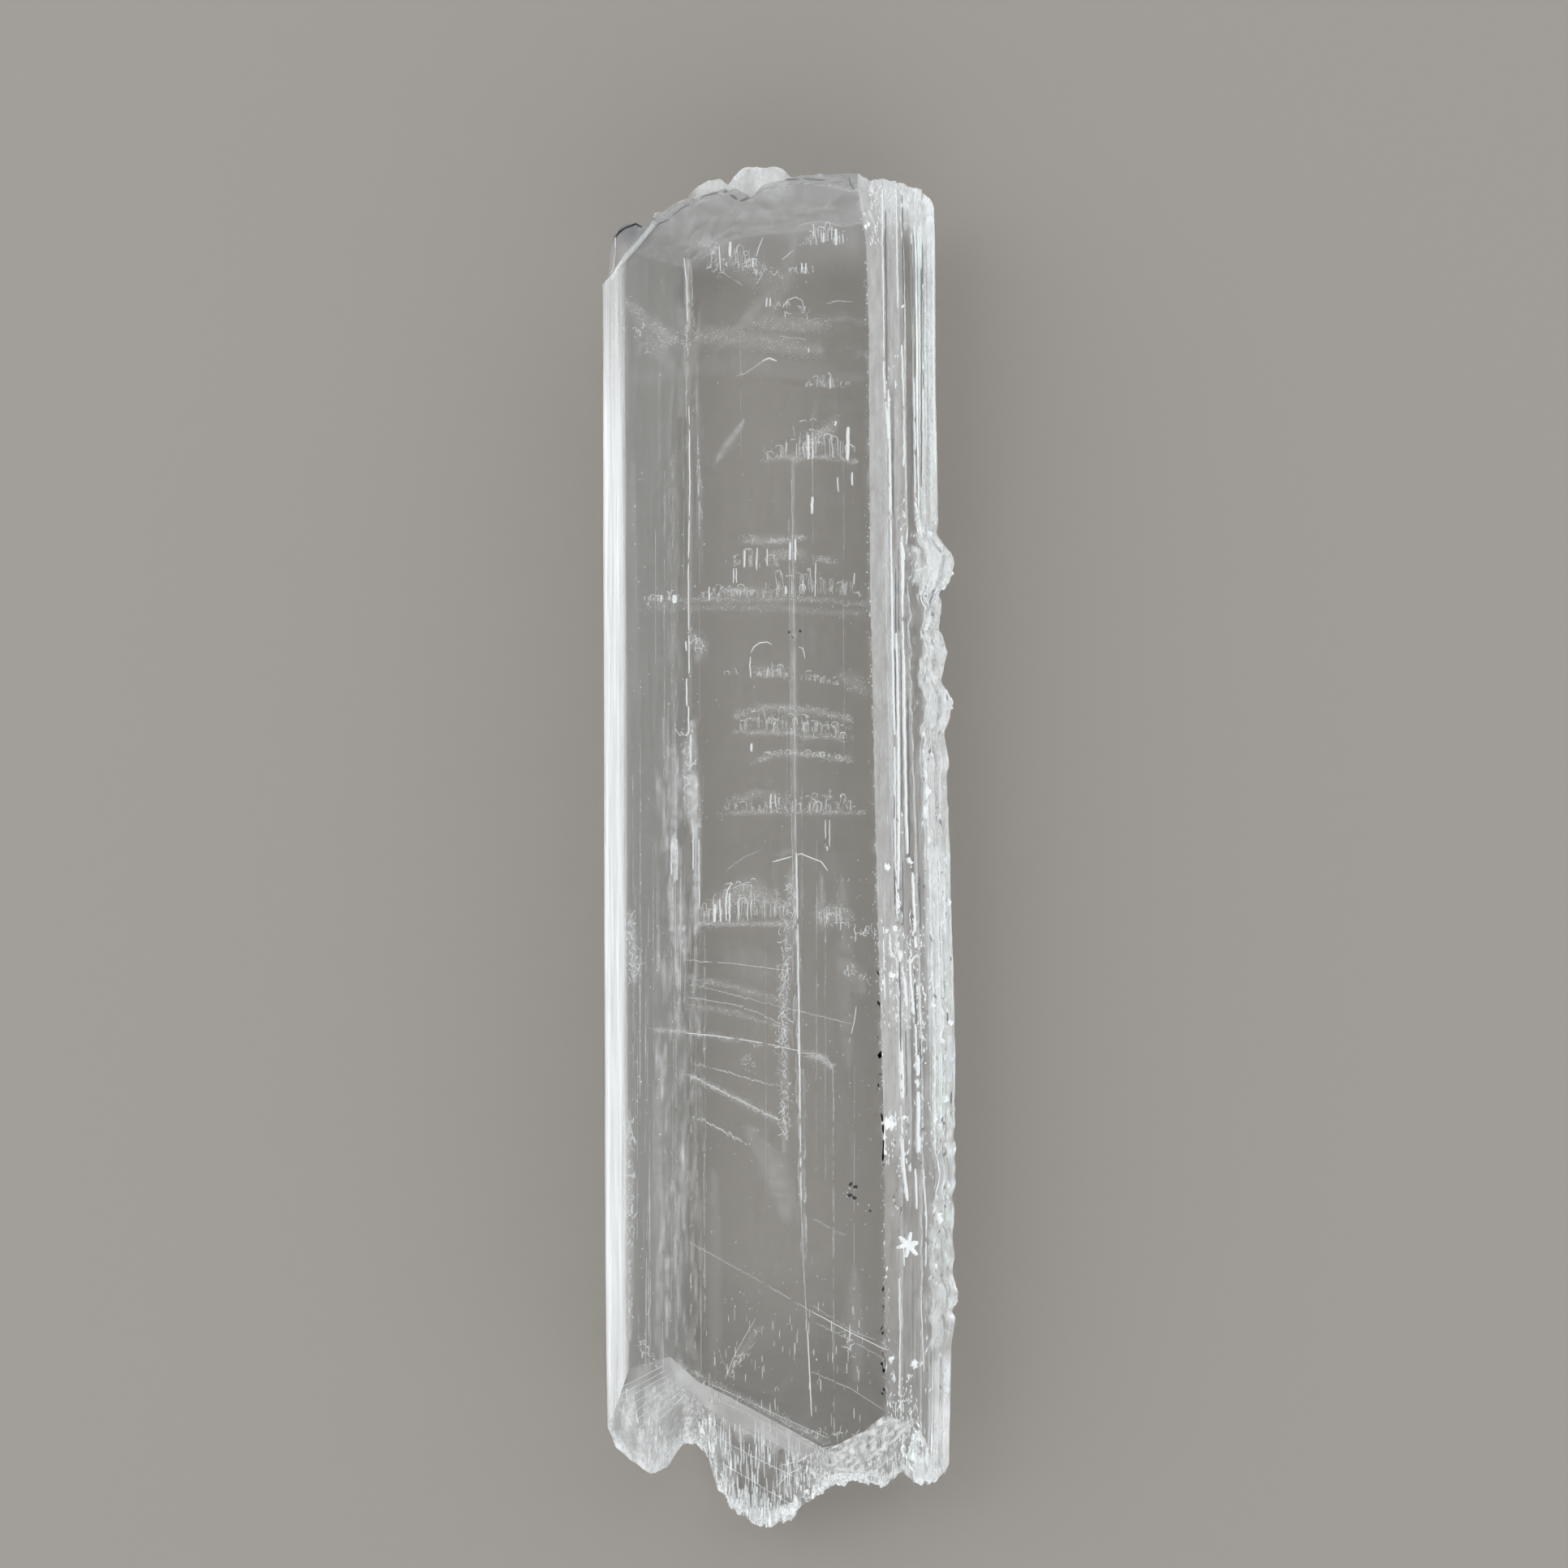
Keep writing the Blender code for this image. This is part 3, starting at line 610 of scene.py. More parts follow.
# The bottom end: its facet, the rough white arm to the right of that, and the lobes with their tips.
# The left lobe is satin, the big lobe glassy in its middle, and the right one nearly clear at its outer side
FACET_FROST = ((-9.0, 0.1), (-8.0, 0.2), (-7.4, 0.34), (-4.0, 0.26), (0.0, 0.28), (3.0, 0.2))
ARM = ((2.6, 0.0), (3.8, 1.0), (9.5, 1.0), (11.0, 0.3))
ARM_FROST = 0.24
ARM_FROST_ON_LOBES = 0.12
LOBE_FROST = ((-6.0, 0.3), (-3.0, 0.04), (1.0, 0.04), (5.0, 0.3), (7.5, 0.14), (9.0, 0.02))
TIP_FROST = ((6.0, 0.32), (9.0, 0.04))
TIP_REACH = ((0.0, 1.0), (1.6, 0.0))
# The top end: thinly frosted all over, with satin standing plates and a white right part
TOP_GROUND_FROST = 0.1
PLATES_FROST = 0.32
PLATES_FROST_ALONG = ((47.6, 0.0), (48.4, 1.0))
PLATES_FROST_ACROSS = ((-6.5, 0.0), (-6.2, 1.0), (0.2, 1.0), (0.9, 0.0))
TOP_RIGHT = ((4.8, 0.0), (6.2, 0.4))
TOP_RIGHT_FROST = 0.8
# The right side behind its ridge
BACK_SIDE_FROST = 0.1
BACK_SIDE_CRUMBLE_FROST = 0.4
BACK_SIDE_CRUMBLE_BY_DEPTH = ((8.6, 1.0), (10.0, 0.0))
# How far striae, crumb and fibre show on each surface, from 0, not at all, to 1
STRIAE_ACROSS = ((0.0, 0.2), (0.22, 0.3), (0.3, 0.8))
STRIAE_ALONG = ((10.0, 1.0), (24.0, 0.5))
STRIATED_CRUMB = 0.1
CRUMBLED_CRUMB = 0.4
VEIL_STRIAE = 4.0
LEAST_FROST = 0.01   # keeps a share of no frost from being a division by nothing
FRONT_CRUMB = 0.2
BEVEL_STRIAE = 0.5
BEVEL_CRUMB = 0.05
BACK_SIDE_STRIAE = 0.6
TOP_CRUMB = 0.5
LEDGE_STRIAE = 0.3
LEDGE_CRUMB = 0.1
LEDGE_FIBRES = ((-13.0, 0.2), (-7.5, 0.3), (-5.5, 0.8), (3.0, 0.8), (5.0, 0.4))
ARM_CRUMB = 0.9
ARM_CRUMB_LOST_ON_LEDGE = 0.5

# A finish's shade is painted shade: it darkens the crystal's colour
Finish = namedtuple("Finish", ("frost", "striae", "crumb", "fibre", "shade"), defaults=(0.0,) * 5)
STEADY_FINISHES = {"left_back": Finish(frost=0.02, striae=0.25), "back": Finish(), "groove": Finish()}


def grainy(x, y, grain):
    """Noise of one of the frost's grains at a place."""
    strength, stretch_across, stretch_along, pattern, size = grain
    return strength * wander(x * stretch_across, y * stretch_along, pattern, size)


def plateau(distance, half_width):
    """1 over the inner half of a band, falling to 0 at its edge."""
    return limited(2.0 - 2.0 * abs(distance) / half_width)


def side_share(x, y):
    """How far out a place lies on the striated side, from its front edge, 0, to its ridge, 1."""
    start = along(FRONT_RIGHT_EDGE, y)
    return limited((x - start) / (along(RIGHT_RIDGE, y) - start))


def within(value, low, high, blend):
    """1 between two limits and 0 beyond them, changing smoothly over the blend."""
    return limited((value - low) / blend + 0.5) * limited((high - value) / blend + 0.5)


def strip_frost(share, y):
    """Frost of the strips along the striated side, with the clear lines cut through them."""
    frost = SIDE_GROUND_FROST
    share += grainy(0.0, y, WAVER_GRAIN)
    for low, high, start, end, amount in SIDE_STRIPS:
        weight = within(y, low, high, STRIP_BLEND_ALONG) * within(share, start, end, STRIP_BLEND_ACROSS)
        frost += (amount - frost) * weight
    for place, low, high in CLEAR_LINES:
        nearness = limited(1.0 - abs(share - place) / CLEAR_LINE_HALF_WIDTH)
        frost *= 1.0 - nearness * within(y, low, high, STRIP_BLEND_ALONG)
    return frost


def striated_frost(x, y, depth):
    """Frost on the striated side: its strips, mottled, and whiter crumbled lumps."""
    lump = lump_height(y, depth)
    mottling = grainy(x, y, COARSE_GRAIN) + grainy(x, y, FINE_GRAIN)
    frost = strip_frost(side_share(x - lump, y), y) + mottling
    return max(frost, LUMP_FROST * limited(lump * LUMP_FROST_RATE))


def bevel_frost(y, depth):
    """Frost on the left bevel."""
    stripes = sum(extra * limited(1.0 - abs(depth - place) / half) for place, half, extra in BEVEL_STRIPES)
    return along(BEVEL_FROST, y) * (along(BEVEL_SATIN, depth) + stripes)


def veil(share):
    """The thin veil under the left of the front face."""
    return along(VEIL, share) + VEIL_EDGE * math.exp(-share / VEIL_EDGE_REACH)


def milky_top(x, y):
    """The milky haze along the top edge of the front face."""
    fading = along(TOP_HAZE, y + grainy(x, y, TOP_HAZE_WAVER)) * along(TOP_HAZE_ACROSS, x)
    return fading * (1.0 + grainy(x, y, TOP_HAZE_GRAIN))


def corner_shade(x, y):
    """Painted shade on the broken corner at the top left, strongest towards its top left."""
    return along(CORNER_SHADE, x) * along(CORNER_SHADE_ALONG, y)


def streaks(x, y):
    """Upright streaks and narrow panels under the front face."""
    amount = 0.0
    for middle, half_width, strength, low, high in STREAKS:
        amount = max(amount, strength * plateau(x - middle, half_width) * within(y, low, high, STREAK_BLEND))
    return amount * limited(PANEL_LEVEL + (grainy(x, y, WIDE_PANELS) + grainy(x, y, NARROW_PANELS)))


def nearest_on(route, x, y):
    """How far a place on the front face is from a route of straight stretches, and how far along that is."""
    nearest = (math.inf, 0.0)
    for index, ((start_x, start_y), (end_x, end_y)) in enumerate(zip(route, route[1:])):
        run_x = end_x - start_x
        run_y = end_y - start_y
        share = limited(((x - start_x) * run_x + (y - start_y) * run_y) / (run_x * run_x + run_y * run_y))
        distance = math.hypot(x - start_x - share * run_x, y - start_y - share * run_y)
        nearest = min(nearest, (distance, (index + share) / (len(route) - 1)))
    return nearest


def haze(x, y):
    """The soft hazes just under the front face, narrower at their ends."""
    total = 0.0
    for route, half_width, strength, left, right, low, high in HAZE_ROUTES:
        if low < y < high and left < x < right:
            distance, progress = nearest_on(route, x, y)
            swell = HAZE_END_WIDTH + (1.0 - HAZE_END_WIDTH) * math.sin(math.pi * progress)
            nearness = 1.0 - distance / (half_width * swell)
            if nearness > 0.0:
                patchy = 1.0 + grainy(x, y, HAZE_GRAIN) + grainy(x, y, FINE_HAZE_GRAIN)
                total = max(total, strength * min(1.0, HAZE_STEEPNESS * nearness) * patchy)
    return total


def facet_frost(x, y):
    """Frost on the bottom end's facet and on the arm to its right."""
    frost = along(FACET_FROST, x) + grainy(x, y, FACET_GRAIN)
    return frost + along(ARM, x) * (ARM_FROST + grainy(x, y, ARM_GRAIN))


def lobe_frost(x, y):
    """Frost on the lobes, whiter towards their tips."""
    tip = along(TIP_REACH, y - along(BOTTOM_LOBES, x))
    frost = along(LOBE_FROST, x) + along(TIP_FROST, x) * tip
    return frost + ARM_FROST_ON_LOBES * along(ARM, x) + grainy(x, y, LOBE_GRAIN)


def bottom_finish(x, y, depth):
    """The finish of the bottom end: a smooth facet, a rough white arm to its right, and fibrous lobes."""
    facet_depth = along(FACET_DEPTH, x)
    ledge_depth = facet_depth + LEDGE_RUN
    frost = along(((facet_depth, facet_frost(x, y)), (ledge_depth, lobe_frost(x, y))), depth)
    ledge = along(((0.0, 0.0), (LEDGE_RUN, 1.0)), depth - facet_depth)
    crumb = along(ARM, x) * (ARM_CRUMB - ARM_CRUMB_LOST_ON_LEDGE * ledge) + LEDGE_CRUMB * ledge
    return Finish(frost, LEDGE_STRIAE * ledge, crumb, fibre=ledge * along(LEDGE_FIBRES, x))


def top_frost(x, y, depth):
    """Frost on the top end: satin on the standing plates, nearly clear elsewhere."""
    plates = along(PLATES_FROST_ALONG, y) * along(PLATES_FROST_ACROSS, x)
    frost = TOP_GROUND_FROST + PLATES_FROST * plates + TOP_RIGHT_FROST * along(TOP_RIGHT, x)
    return frost + grainy(x, depth, TOP_GRAIN)


def top_finish(x, y, depth):
    """The finish of the top end, with painted shade at its broken corner."""
    shade = corner_shade(x, y)
    return Finish(top_frost(x, y, depth) + SHADE_FROST * shade, crumb=TOP_CRUMB * (1.0 - shade), shade=shade)


def front_finish(x, y, depth):
    """The finish of the front face: hazes, streaks and a milky top."""
    share = (x - front_left_x(y)) / (front_right_x(y) - front_left_x(y))
    edge = RIGHT_EDGE_FROST * limited(RIGHT_EDGE_LEVEL + grainy(0.0, y, RIGHT_EDGE_GRAIN))
    edge *= along(RIGHT_EDGE_REACH, share)
    upright = streaks(x, y)
    frost = max(veil(share) + edge, milky_top(x, y)) + haze(x, y) + upright
    return Finish(frost, limited(VEIL_STRIAE * veil(share) + upright / (frost + LEAST_FROST)), FRONT_CRUMB)


def striated_finish(x, y, depth):
    """The finish of the striated side."""
    striae = along(STRIAE_ACROSS, side_share(x, y)) * along(STRIAE_ALONG, y)
    return Finish(striated_frost(x, y, depth), striae, STRIATED_CRUMB + CRUMBLED_CRUMB * crumbling(y, depth))


def right_back_finish(x, y, depth):
    """The finish of the right side behind its ridge."""
    crumbled = crumbling(y, depth)
    frost = BACK_SIDE_CRUMBLE_FROST * crumbled * along(BACK_SIDE_CRUMBLE_BY_DEPTH, depth)
    return Finish(BACK_SIDE_FROST + frost, BACK_SIDE_STRIAE, crumbled)


def bevel_finish(x, y, depth):
    """The finish of the left bevel."""
    return Finish(bevel_frost(y, depth), BEVEL_STRIAE, BEVEL_CRUMB)


def finish(surface, point):
    """The finish of a surface at a point."""
    if surface in STEADY_FINISHES:
        return STEADY_FINISHES[surface]
    return FINISH_BY_SURFACE[surface](point.x, point.y, THICKNESS - point.z)


FINISH_BY_SURFACE = {"front": front_finish, "striated": striated_finish, "right_back": right_back_finish,
                     "left_front": bevel_finish, "top": top_finish, "bottom": bottom_finish}


def passes_straight_through(surface, face):
    """Whether a face belongs to the left flank or to the clear part of the top end."""
    return surface == "left_back" or (surface == "top" and face.calc_center_median().x < TOP_CLEAR_END)


def paint_finish(mesh):
    """Note each face corner's finish for the material to read."""
    surfaces = mesh.faces.layers.int["surface"]
    layers = [mesh.loops.layers.float.new(name) for name in Finish._fields]
    known = {}
    for face in mesh.faces:
        surface = SURFACES[face[surfaces]]
        face.material_index = 1 if passes_straight_through(surface, face) else 0
        for corner in face.loops:
            key = (surface, corner.vert)
            if key not in known:
                known[key] = finish(surface, corner.vert.co)
            for layer, amount in zip(layers, known[key]):
                corner[layer] = limited(amount)


# ---------------------------------------------------------------- materials
# Noise of the finish: stretch along each axis, scale, detail and roughness
SPECKLE_NOISE = ((1.0, 0.6, 1.0), 2000.0, 6.0, 0.7)
LINE_NOISE = ((1.0, 0.025, 1.0), 4500.0, 4.0, 0.6)
FIBRE_NOISE = ((1.0, 0.07, 1.0), 4600.0, 5.0, 0.65)
GRAIN_NOISE = ((1.0, 0.03, 1.0), 6500.0, 3.0, 0.55)
STRAND_NOISE = ((1.0, 0.14, 1.0), 5200.0, 4.0, 0.6)
CRUMB_NOISE = ((1.0, 0.6, 1.0), 1900.0, 5.0, 0.6)
MARK_NOISE = ((1.0, 1.0, 1.0), 3000.0, 3.0, 0.5)
# Ranges: from, to, and what these two become
SPECKLE_RANGE = (0.34, 0.66, 0.5, 1.5)
LINE_RANGE = (0.35, 0.65, 0.45, 1.5)
FIBRE_RANGE = (0.42, 0.64, 0.25, 2.0)
TRANSMISSION_RANGE = (0.0, 1.0, 1.0, 0.0)
ROUGHNESS_RANGE = (0.0, 0.8, 0.01, 0.45)
TINT_RANGE = (0.0, 1.0, 0.0, 1.0)
MARK_NOISE_RANGE = (0.3, 0.7)
MARK_ROUGHNESS_SHARES = (0.7, 1.3)
CLEAR_COLOUR = (0.99, 0.99, 0.99, 1.0)
FROSTED_COLOUR = (0.935, 0.953, 0.956, 1.0)
# The colour that painted shade darkens the crystal towards
SHADE_COLOUR = (0.15, 0.15, 0.16, 1.0)
BUMP_STRENGTH = 0.6
BUMP_DISTANCE = 0.00008
ABSORPTION_COLOUR = (0.9, 0.92, 0.917, 1.0)
ABSORPTION_DENSITY = 6.0
# The mix node's first value and its result, among its sockets, by the kind of value
MIX_SOCKETS = {"FLOAT": (2, 0), "RGBA": (6, 2)}


class NodeTree:
    """The nodes of a material or a world, with short ways to add and join them."""

    def __init__(self, owner):
        owner.use_nodes = True
        self.nodes = owner.node_tree.nodes
        self.links = owner.node_tree.links

    def fill(self, socket, value):
        """Give a socket a plain value, or join another node's output to it."""
        if isinstance(value, bpy.types.NodeSocket):
            self.links.new(value, socket)
        else:
            socket.default_value = value

    def add(self, kind, inputs):
        """A new node with its inputs filled, each by its name or number."""
        node = self.nodes.new(kind)
        for socket, value in inputs.items():
            self.fill(node.inputs[socket], value)
        return node

    def attribute(self, name):
        node = self.nodes.new("ShaderNodeAttribute")
        node.attribute_name = name
        return node.outputs["Fac"]

    def noise(self, stretch, scale, detail, roughness):
        """A noise pattern on the object's own coordinates, stretched along each axis."""
        coordinates = self.nodes.new("ShaderNodeTexCoord").outputs["Object"]
        mapping = self.add("ShaderNodeMapping", {"Scale": stretch, "Vector": coordinates})
        pattern = self.add("ShaderNodeTexNoise", {"Scale": scale, "Detail": detail, "Roughness": roughness,
                                                  "Vector": mapping.outputs["Vector"]})
        return pattern.outputs["Fac"]

    def range(self, source, low, high, to_low, to_high):
        """Map a value from one range to another, held within it."""
        node = self.add("ShaderNodeMapRange", {"Value": source, "From Min": low, "From Max": high,
                                               "To Min": to_low, "To Max": to_high})
        return node.outputs["Result"]

    def math(self, operation, first, second):
        """A sum, product or similar of two values."""
        node = self.add("ShaderNodeMath", {0: first, 1: second})
        node.operation = operation
        return node.outputs["Value"]

    def mix(self, kind, amount, low, high):
        """A number or a colour between two others, by an amount from 0 to 1."""
        node = self.nodes.new("ShaderNodeMix")
        node.data_type = kind
        first, result = MIX_SOCKETS[kind]
        for socket, value in ((0, amount), (first, low), (first + 1, high)):
            self.fill(node.inputs[socket], value)
        return node.outputs[result]


def crystal_relief(tree, striae, crumb, fibre):
    """The bump of the crystal's surface: grain with the striae, crumbs and strands."""
    grain = tree.noise(*GRAIN_NOISE)
    strands = tree.noise(*STRAND_NOISE)
    crumbs = tree.noise(*CRUMB_NOISE)
    relief = tree.math("ADD", tree.math("MULTIPLY", grain, striae), tree.math("MULTIPLY", crumbs, crumb))
    relief = tree.math("ADD", relief, tree.math("MULTIPLY", strands, fibre))
    bump = tree.add("ShaderNodeBump", {"Strength": BUMP_STRENGTH, "Distance": BUMP_DISTANCE,
                                       "Height": relief})
    return bump.outputs["Normal"]


def crystal_material(name, refraction):
    """Clear selenite that turns satin and then white where it is frosted, and darker where its finish holds
    painted shade.
    """
    material = bpy.data.materials.new(name)
    tree = NodeTree(material)
    amount, striae, crumb, fibre, shade = (tree.attribute(field) for field in Finish._fields)
    speckle = tree.range(tree.noise(*SPECKLE_NOISE), *SPECKLE_RANGE)
    lines = tree.range(tree.noise(*LINE_NOISE), *LINE_RANGE)
    fibres = tree.range(tree.noise(*FIBRE_NOISE), *FIBRE_RANGE)
    frost = amount
    for share, pattern in ((crumb, speckle), (striae, lines), (fibre, fibres)):
        frost = tree.math("MULTIPLY", frost, tree.mix("FLOAT", share, 1.0, pattern))
    tint = tree.mix("RGBA", tree.range(frost, *TINT_RANGE), CLEAR_COLOUR, FROSTED_COLOUR)
    shader = tree.nodes["Principled BSDF"]
    shader.inputs["Metallic"].default_value = 0.0
    shader.inputs["IOR"].default_value = refraction
    tree.fill(shader.inputs["Transmission Weight"], tree.range(frost, *TRANSMISSION_RANGE))
    tree.fill(shader.inputs["Roughness"], tree.range(frost, *ROUGHNESS_RANGE))
    # Painted shade: where the finish's shade is set, the colour darkens towards the shade colour
    tree.fill(shader.inputs["Base Color"], tree.mix("RGBA", shade, tint, SHADE_COLOUR))
    tree.fill(shader.inputs["Normal"], crystal_relief(tree, striae, crumb, fibre))
    absorption = tree.add("ShaderNodeVolumeAbsorption", {"Color": ABSORPTION_COLOUR,
                                                         "Density": ABSORPTION_DENSITY})
    tree.fill(tree.nodes["Material Output"].inputs["Volume"], absorption.outputs["Volume"])
    return material


def mark_material(name, colour, roughness):
    """The finish of a mark in or on the crystal: a pale crack or a painted highlight, a satin line, a line of
    painted shade, or a dark speck of dirt or line of painted shade.
    """
    material = bpy.data.materials.new(name)
    tree = NodeTree(material)
    shader = tree.nodes["Principled BSDF"]
    shader.inputs["Base Color"].default_value = (*colour, 1.0)
    low, high = (roughness * share for share in MARK_ROUGHNESS_SHARES)
    tone = tree.range(tree.noise(*MARK_NOISE), *MARK_NOISE_RANGE, low, high)
    tree.fill(shader.inputs["Roughness"], tone)
    return material


# Pale cracks with painted highlights, faint cracks, painted shade, and dark dirt with dark lines of painted
# shade
MARKS = {
    "bright": mark_material("pale_crack_and_painted_highlight", (0.97, 0.98, 0.98), 0.4),
    "soft": mark_material("faint_crack", (0.80, 0.82, 0.81), 0.5),
    "shade": mark_material("painted_shade_crack", (0.22, 0.22, 0.23), 0.5),
    "dark": mark_material("dirt_and_painted_shade", (0.01, 0.01, 0.012), 0.5),
}


# ---------------------------------------------------------------- gathering small shapes
BOX_LOW, BOX_HIGH = (corner / METRES_PER_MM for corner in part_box(NODE))
# How far inside the crystal's sides and ends a mark has to be, and how it is sunk until it is
COVER = 0.012
END_COVER = 0.06
SINK_STEP = 0.05
SINK_LIMIT = 3.0
SIDE_ATTEMPTS = 4

TUBE_SIDES = 4
# How steeply a tube widens from its ends, and the part of a half wave that its width follows
TAPER_STEEPNESS = 3.0
TAPER_START = 0.04
TAPER_RUN = 0.92
SHARD_TURN = 0.5
SHARD_SPOKES = (0.5, 1.0)
SHARD_SLANT = 0.3
SHARD_DIRECTIONS = ((1, 0, 0), (-1, 0, 0), (0, 1, 0), (0, -1, 0), (0, 0, 1), (0, 0, -1))
SHARD_FACES = ((0, 2, 4), (2, 1, 4), (1, 3, 4), (3, 0, 4), (2, 0, 5), (1, 2, 5), (3, 1, 5), (0, 3, 5))
FLAKE_SPOKES = (0.3, 0.8)
FLAKE_CORNERS = ((1, 1, 1), (1, -1, -1), (-1, 1, -1), (-1, -1, 1))
FLAKE_FACES = ((0, 1, 2), (0, 3, 1), (0, 2, 3), (1, 3, 2))


def held_in_box(point):
    """The point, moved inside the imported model's box if it is outside it."""
    return Vector([limited(value, low, high) for value, low, high in zip(point, BOX_LOW, BOX_HIGH)])


class Heap:
    """Gathers many small shapes, in millimetres, and makes one object of them."""

    def __init__(self):
        self.points = []
        self.faces = []

    def add(self, points, faces):
        first = len(self.points)
        self.points.extend(points)
        self.faces.extend([[first + corner for corner in face] for face in faces])

    def make(self, name, material):
        data = bpy.data.meshes.new(name)
        data.from_pydata([held_in_box(point) * METRES_PER_MM for point in self.points], [], self.faces)
        data.materials.append(material)
        piece = bpy.data.objects.new(name, data)
        bpy.context.scene.collection.objects.link(piece)
        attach(piece, "root")


def seen_at(across, down, depth, refraction=1.0):
    """The place at a depth that shows at a pixel, seen past the crystal or, by its IOR, through it."""
    scale = MM_PER_PIXEL * (1.0 + depth / refraction / VIEW_DISTANCE)
    x = VIEW_X + (across - PICTURE_SIZE / 2.0) * scale
    y = VIEW_Y + (PICTURE_SIZE / 2.0 - down) * scale
    return Vector((x, y, THICKNESS - depth))


def inside_at(across, down, depth):
    """The place in the crystal that shows at a pixel of the picture, seen through the front face."""
    return seen_at(across, down, depth, CRYSTAL_IOR)


def is_covered(spot):
    """Whether a place is inside the crystal: below its front, between its two sides and between its ends."""
    x, y, z = spot
    depth = THICKNESS - z
    left = along(LEFT_RIDGE, y) + SIDE_RUN * abs(depth - LEFT_RIDGE_DEPTH)
    if not COVER < depth < THICKNESS or x < left + COVER:
        return False
    if depth > RIGHT_RIDGE_DEPTH:
        if x > along(RIGHT_RIDGE, y) - SIDE_RUN * (depth - RIGHT_RIDGE_DEPTH):
            return False
    elif depth < along(STRIATION_STEPS, side_share(x, y)) * RIGHT_RIDGE_DEPTH + COVER:
        return False
    if y < BODY_START:
        return y > bottom_height(x, z) + END_COVER
    return y < BODY_END or y < top_height(x, z) - END_COVER


def settled(route):
    """The route, with each place outside the crystal sunk until it is inside, or left out if it never is."""
    kept = []
    for spot in route:
        lowest = spot.z - SINK_LIMIT
        while spot.z > lowest and not is_covered(spot):
            spot = spot - Vector((0.0, 0.0, SINK_STEP))
        if is_covered(spot):
            kept.append(spot)
    return kept


def on_side(across, down, lift):
    """The place on the striated side that shows at a pixel of the picture, a little above its surface."""
    depth = 0.0
    for attempt in range(SIDE_ATTEMPTS):
        x, y, z = seen_at(across, down, depth)
        depth = along(STRIATION_STEPS, side_share(x, y)) * RIGHT_RIDGE_DEPTH
    return Vector((x, y, THICKNESS - depth + lift))


def add_tube(heap, route, half_width, half_height, taper=0.35):
    """A four-sided flat tube along a route of two places or more, narrower at its ends."""
    if len(route) < 2:
        return
    points = []
    last = len(route) - 1
    for index, spot in enumerate(route):
        ahead = (route[min(index + 1, last)] - route[max(index - 1, 0)]).normalized()
        across = ahead.cross(Vector((0.0, 0.0, 1.0))).normalized()
        up = across.cross(ahead)
        swell = math.sin(math.pi * limited(TAPER_START + TAPER_RUN * index / last))
        size = taper + (1.0 - taper) * min(1.0, TAPER_STEEPNESS * swell)
        for offset in (across * half_width, up * half_height, -across * half_width, -up * half_height):
            points.append(spot + offset * size)
    faces = [(0, 1, 2, 3), tuple(TUBE_SIDES * last + corner for corner in (3, 2, 1, 0))]
    for index in range(last):
        for side in range(TUBE_SIDES):
            near = TUBE_SIDES * index + side
            near_next = TUBE_SIDES * index + (side + 1) % TUBE_SIDES
            faces.append((near, near + TUBE_SIDES, near_next + TUBE_SIDES, near_next))
    heap.add(points, faces)


def route_between(corners, chance, waver=0.0, step=1.0):
    """Points along straight stretches between corners, with a little waver."""
    route = [corners[0]]
    for start, end in zip(corners, corners[1:]):
        parts = max(1, round((end - start).length / step))
        for part in range(1, parts + 1):
            spot = start.lerp(end, part / parts)
            spot.x += chance.uniform(-waver, waver)
            spot.y += chance.uniform(-waver, waver)
            route.append(spot)
    return route


def inside_line(pixels, depth, chance, drawing):
    """A wavering line inside the crystal past some pixels; the drawing gives its waver and its step."""
    corners = [inside_at(across, down, depth) for across, down in pixels]
    return settled(route_between(corners, chance, *drawing))


def upright_line(across, top, bottom, lean, depth, chance, drawing):
    """A line down from a pixel whose lower end strays to one side."""
    ends = ((across, top), (across + chance.uniform(-lean, lean), bottom))
    return inside_line(ends, depth, chance, drawing)


def broken_route(route, chance, gap_chance):
    """The route in several pieces, with short gaps between them."""
    pieces = [[]]
    for spot in route:
        if chance.random() < gap_chance and len(pieces[-1]) > 2:
            pieces.append([])
        pieces[-1].append(spot)
    return [piece for piece in pieces if len(piece) > 1]


def places_in(patch, chance):
    """Pixels scattered over a patch: left, right, top, bottom and how many."""
    left, right, top, bottom, count = patch
    for index in range(count):
        yield chance.uniform(left, right), chance.uniform(top, bottom)


def add_shard(heap, middle, sizes, chance):
    """A small irregular splinter: a squashed octahedron with uneven corners, turned a little."""
    turn = Matrix.Rotation(chance.uniform(-SHARD_TURN, SHARD_TURN), 3, "Z")
    points = []
    for direction in SHARD_DIRECTIONS:
        spoke = Vector([axis * size for axis, size in zip(direction, sizes)]) * chance.uniform(*SHARD_SPOKES)
        spoke.x += chance.uniform(-SHARD_SLANT, SHARD_SLANT) * sizes[0]
        points.append(middle + turn @ spoke)
    heap.add(points, SHARD_FACES)


def add_flake(heap, middle, size, chance):
    """A tiny splinter of four faces, as fine as dust."""
    points = [middle + Vector(corner) * size * chance.uniform(*FLAKE_SPOKES) for corner in FLAKE_CORNERS]
    heap.add(points, FLAKE_FACES)
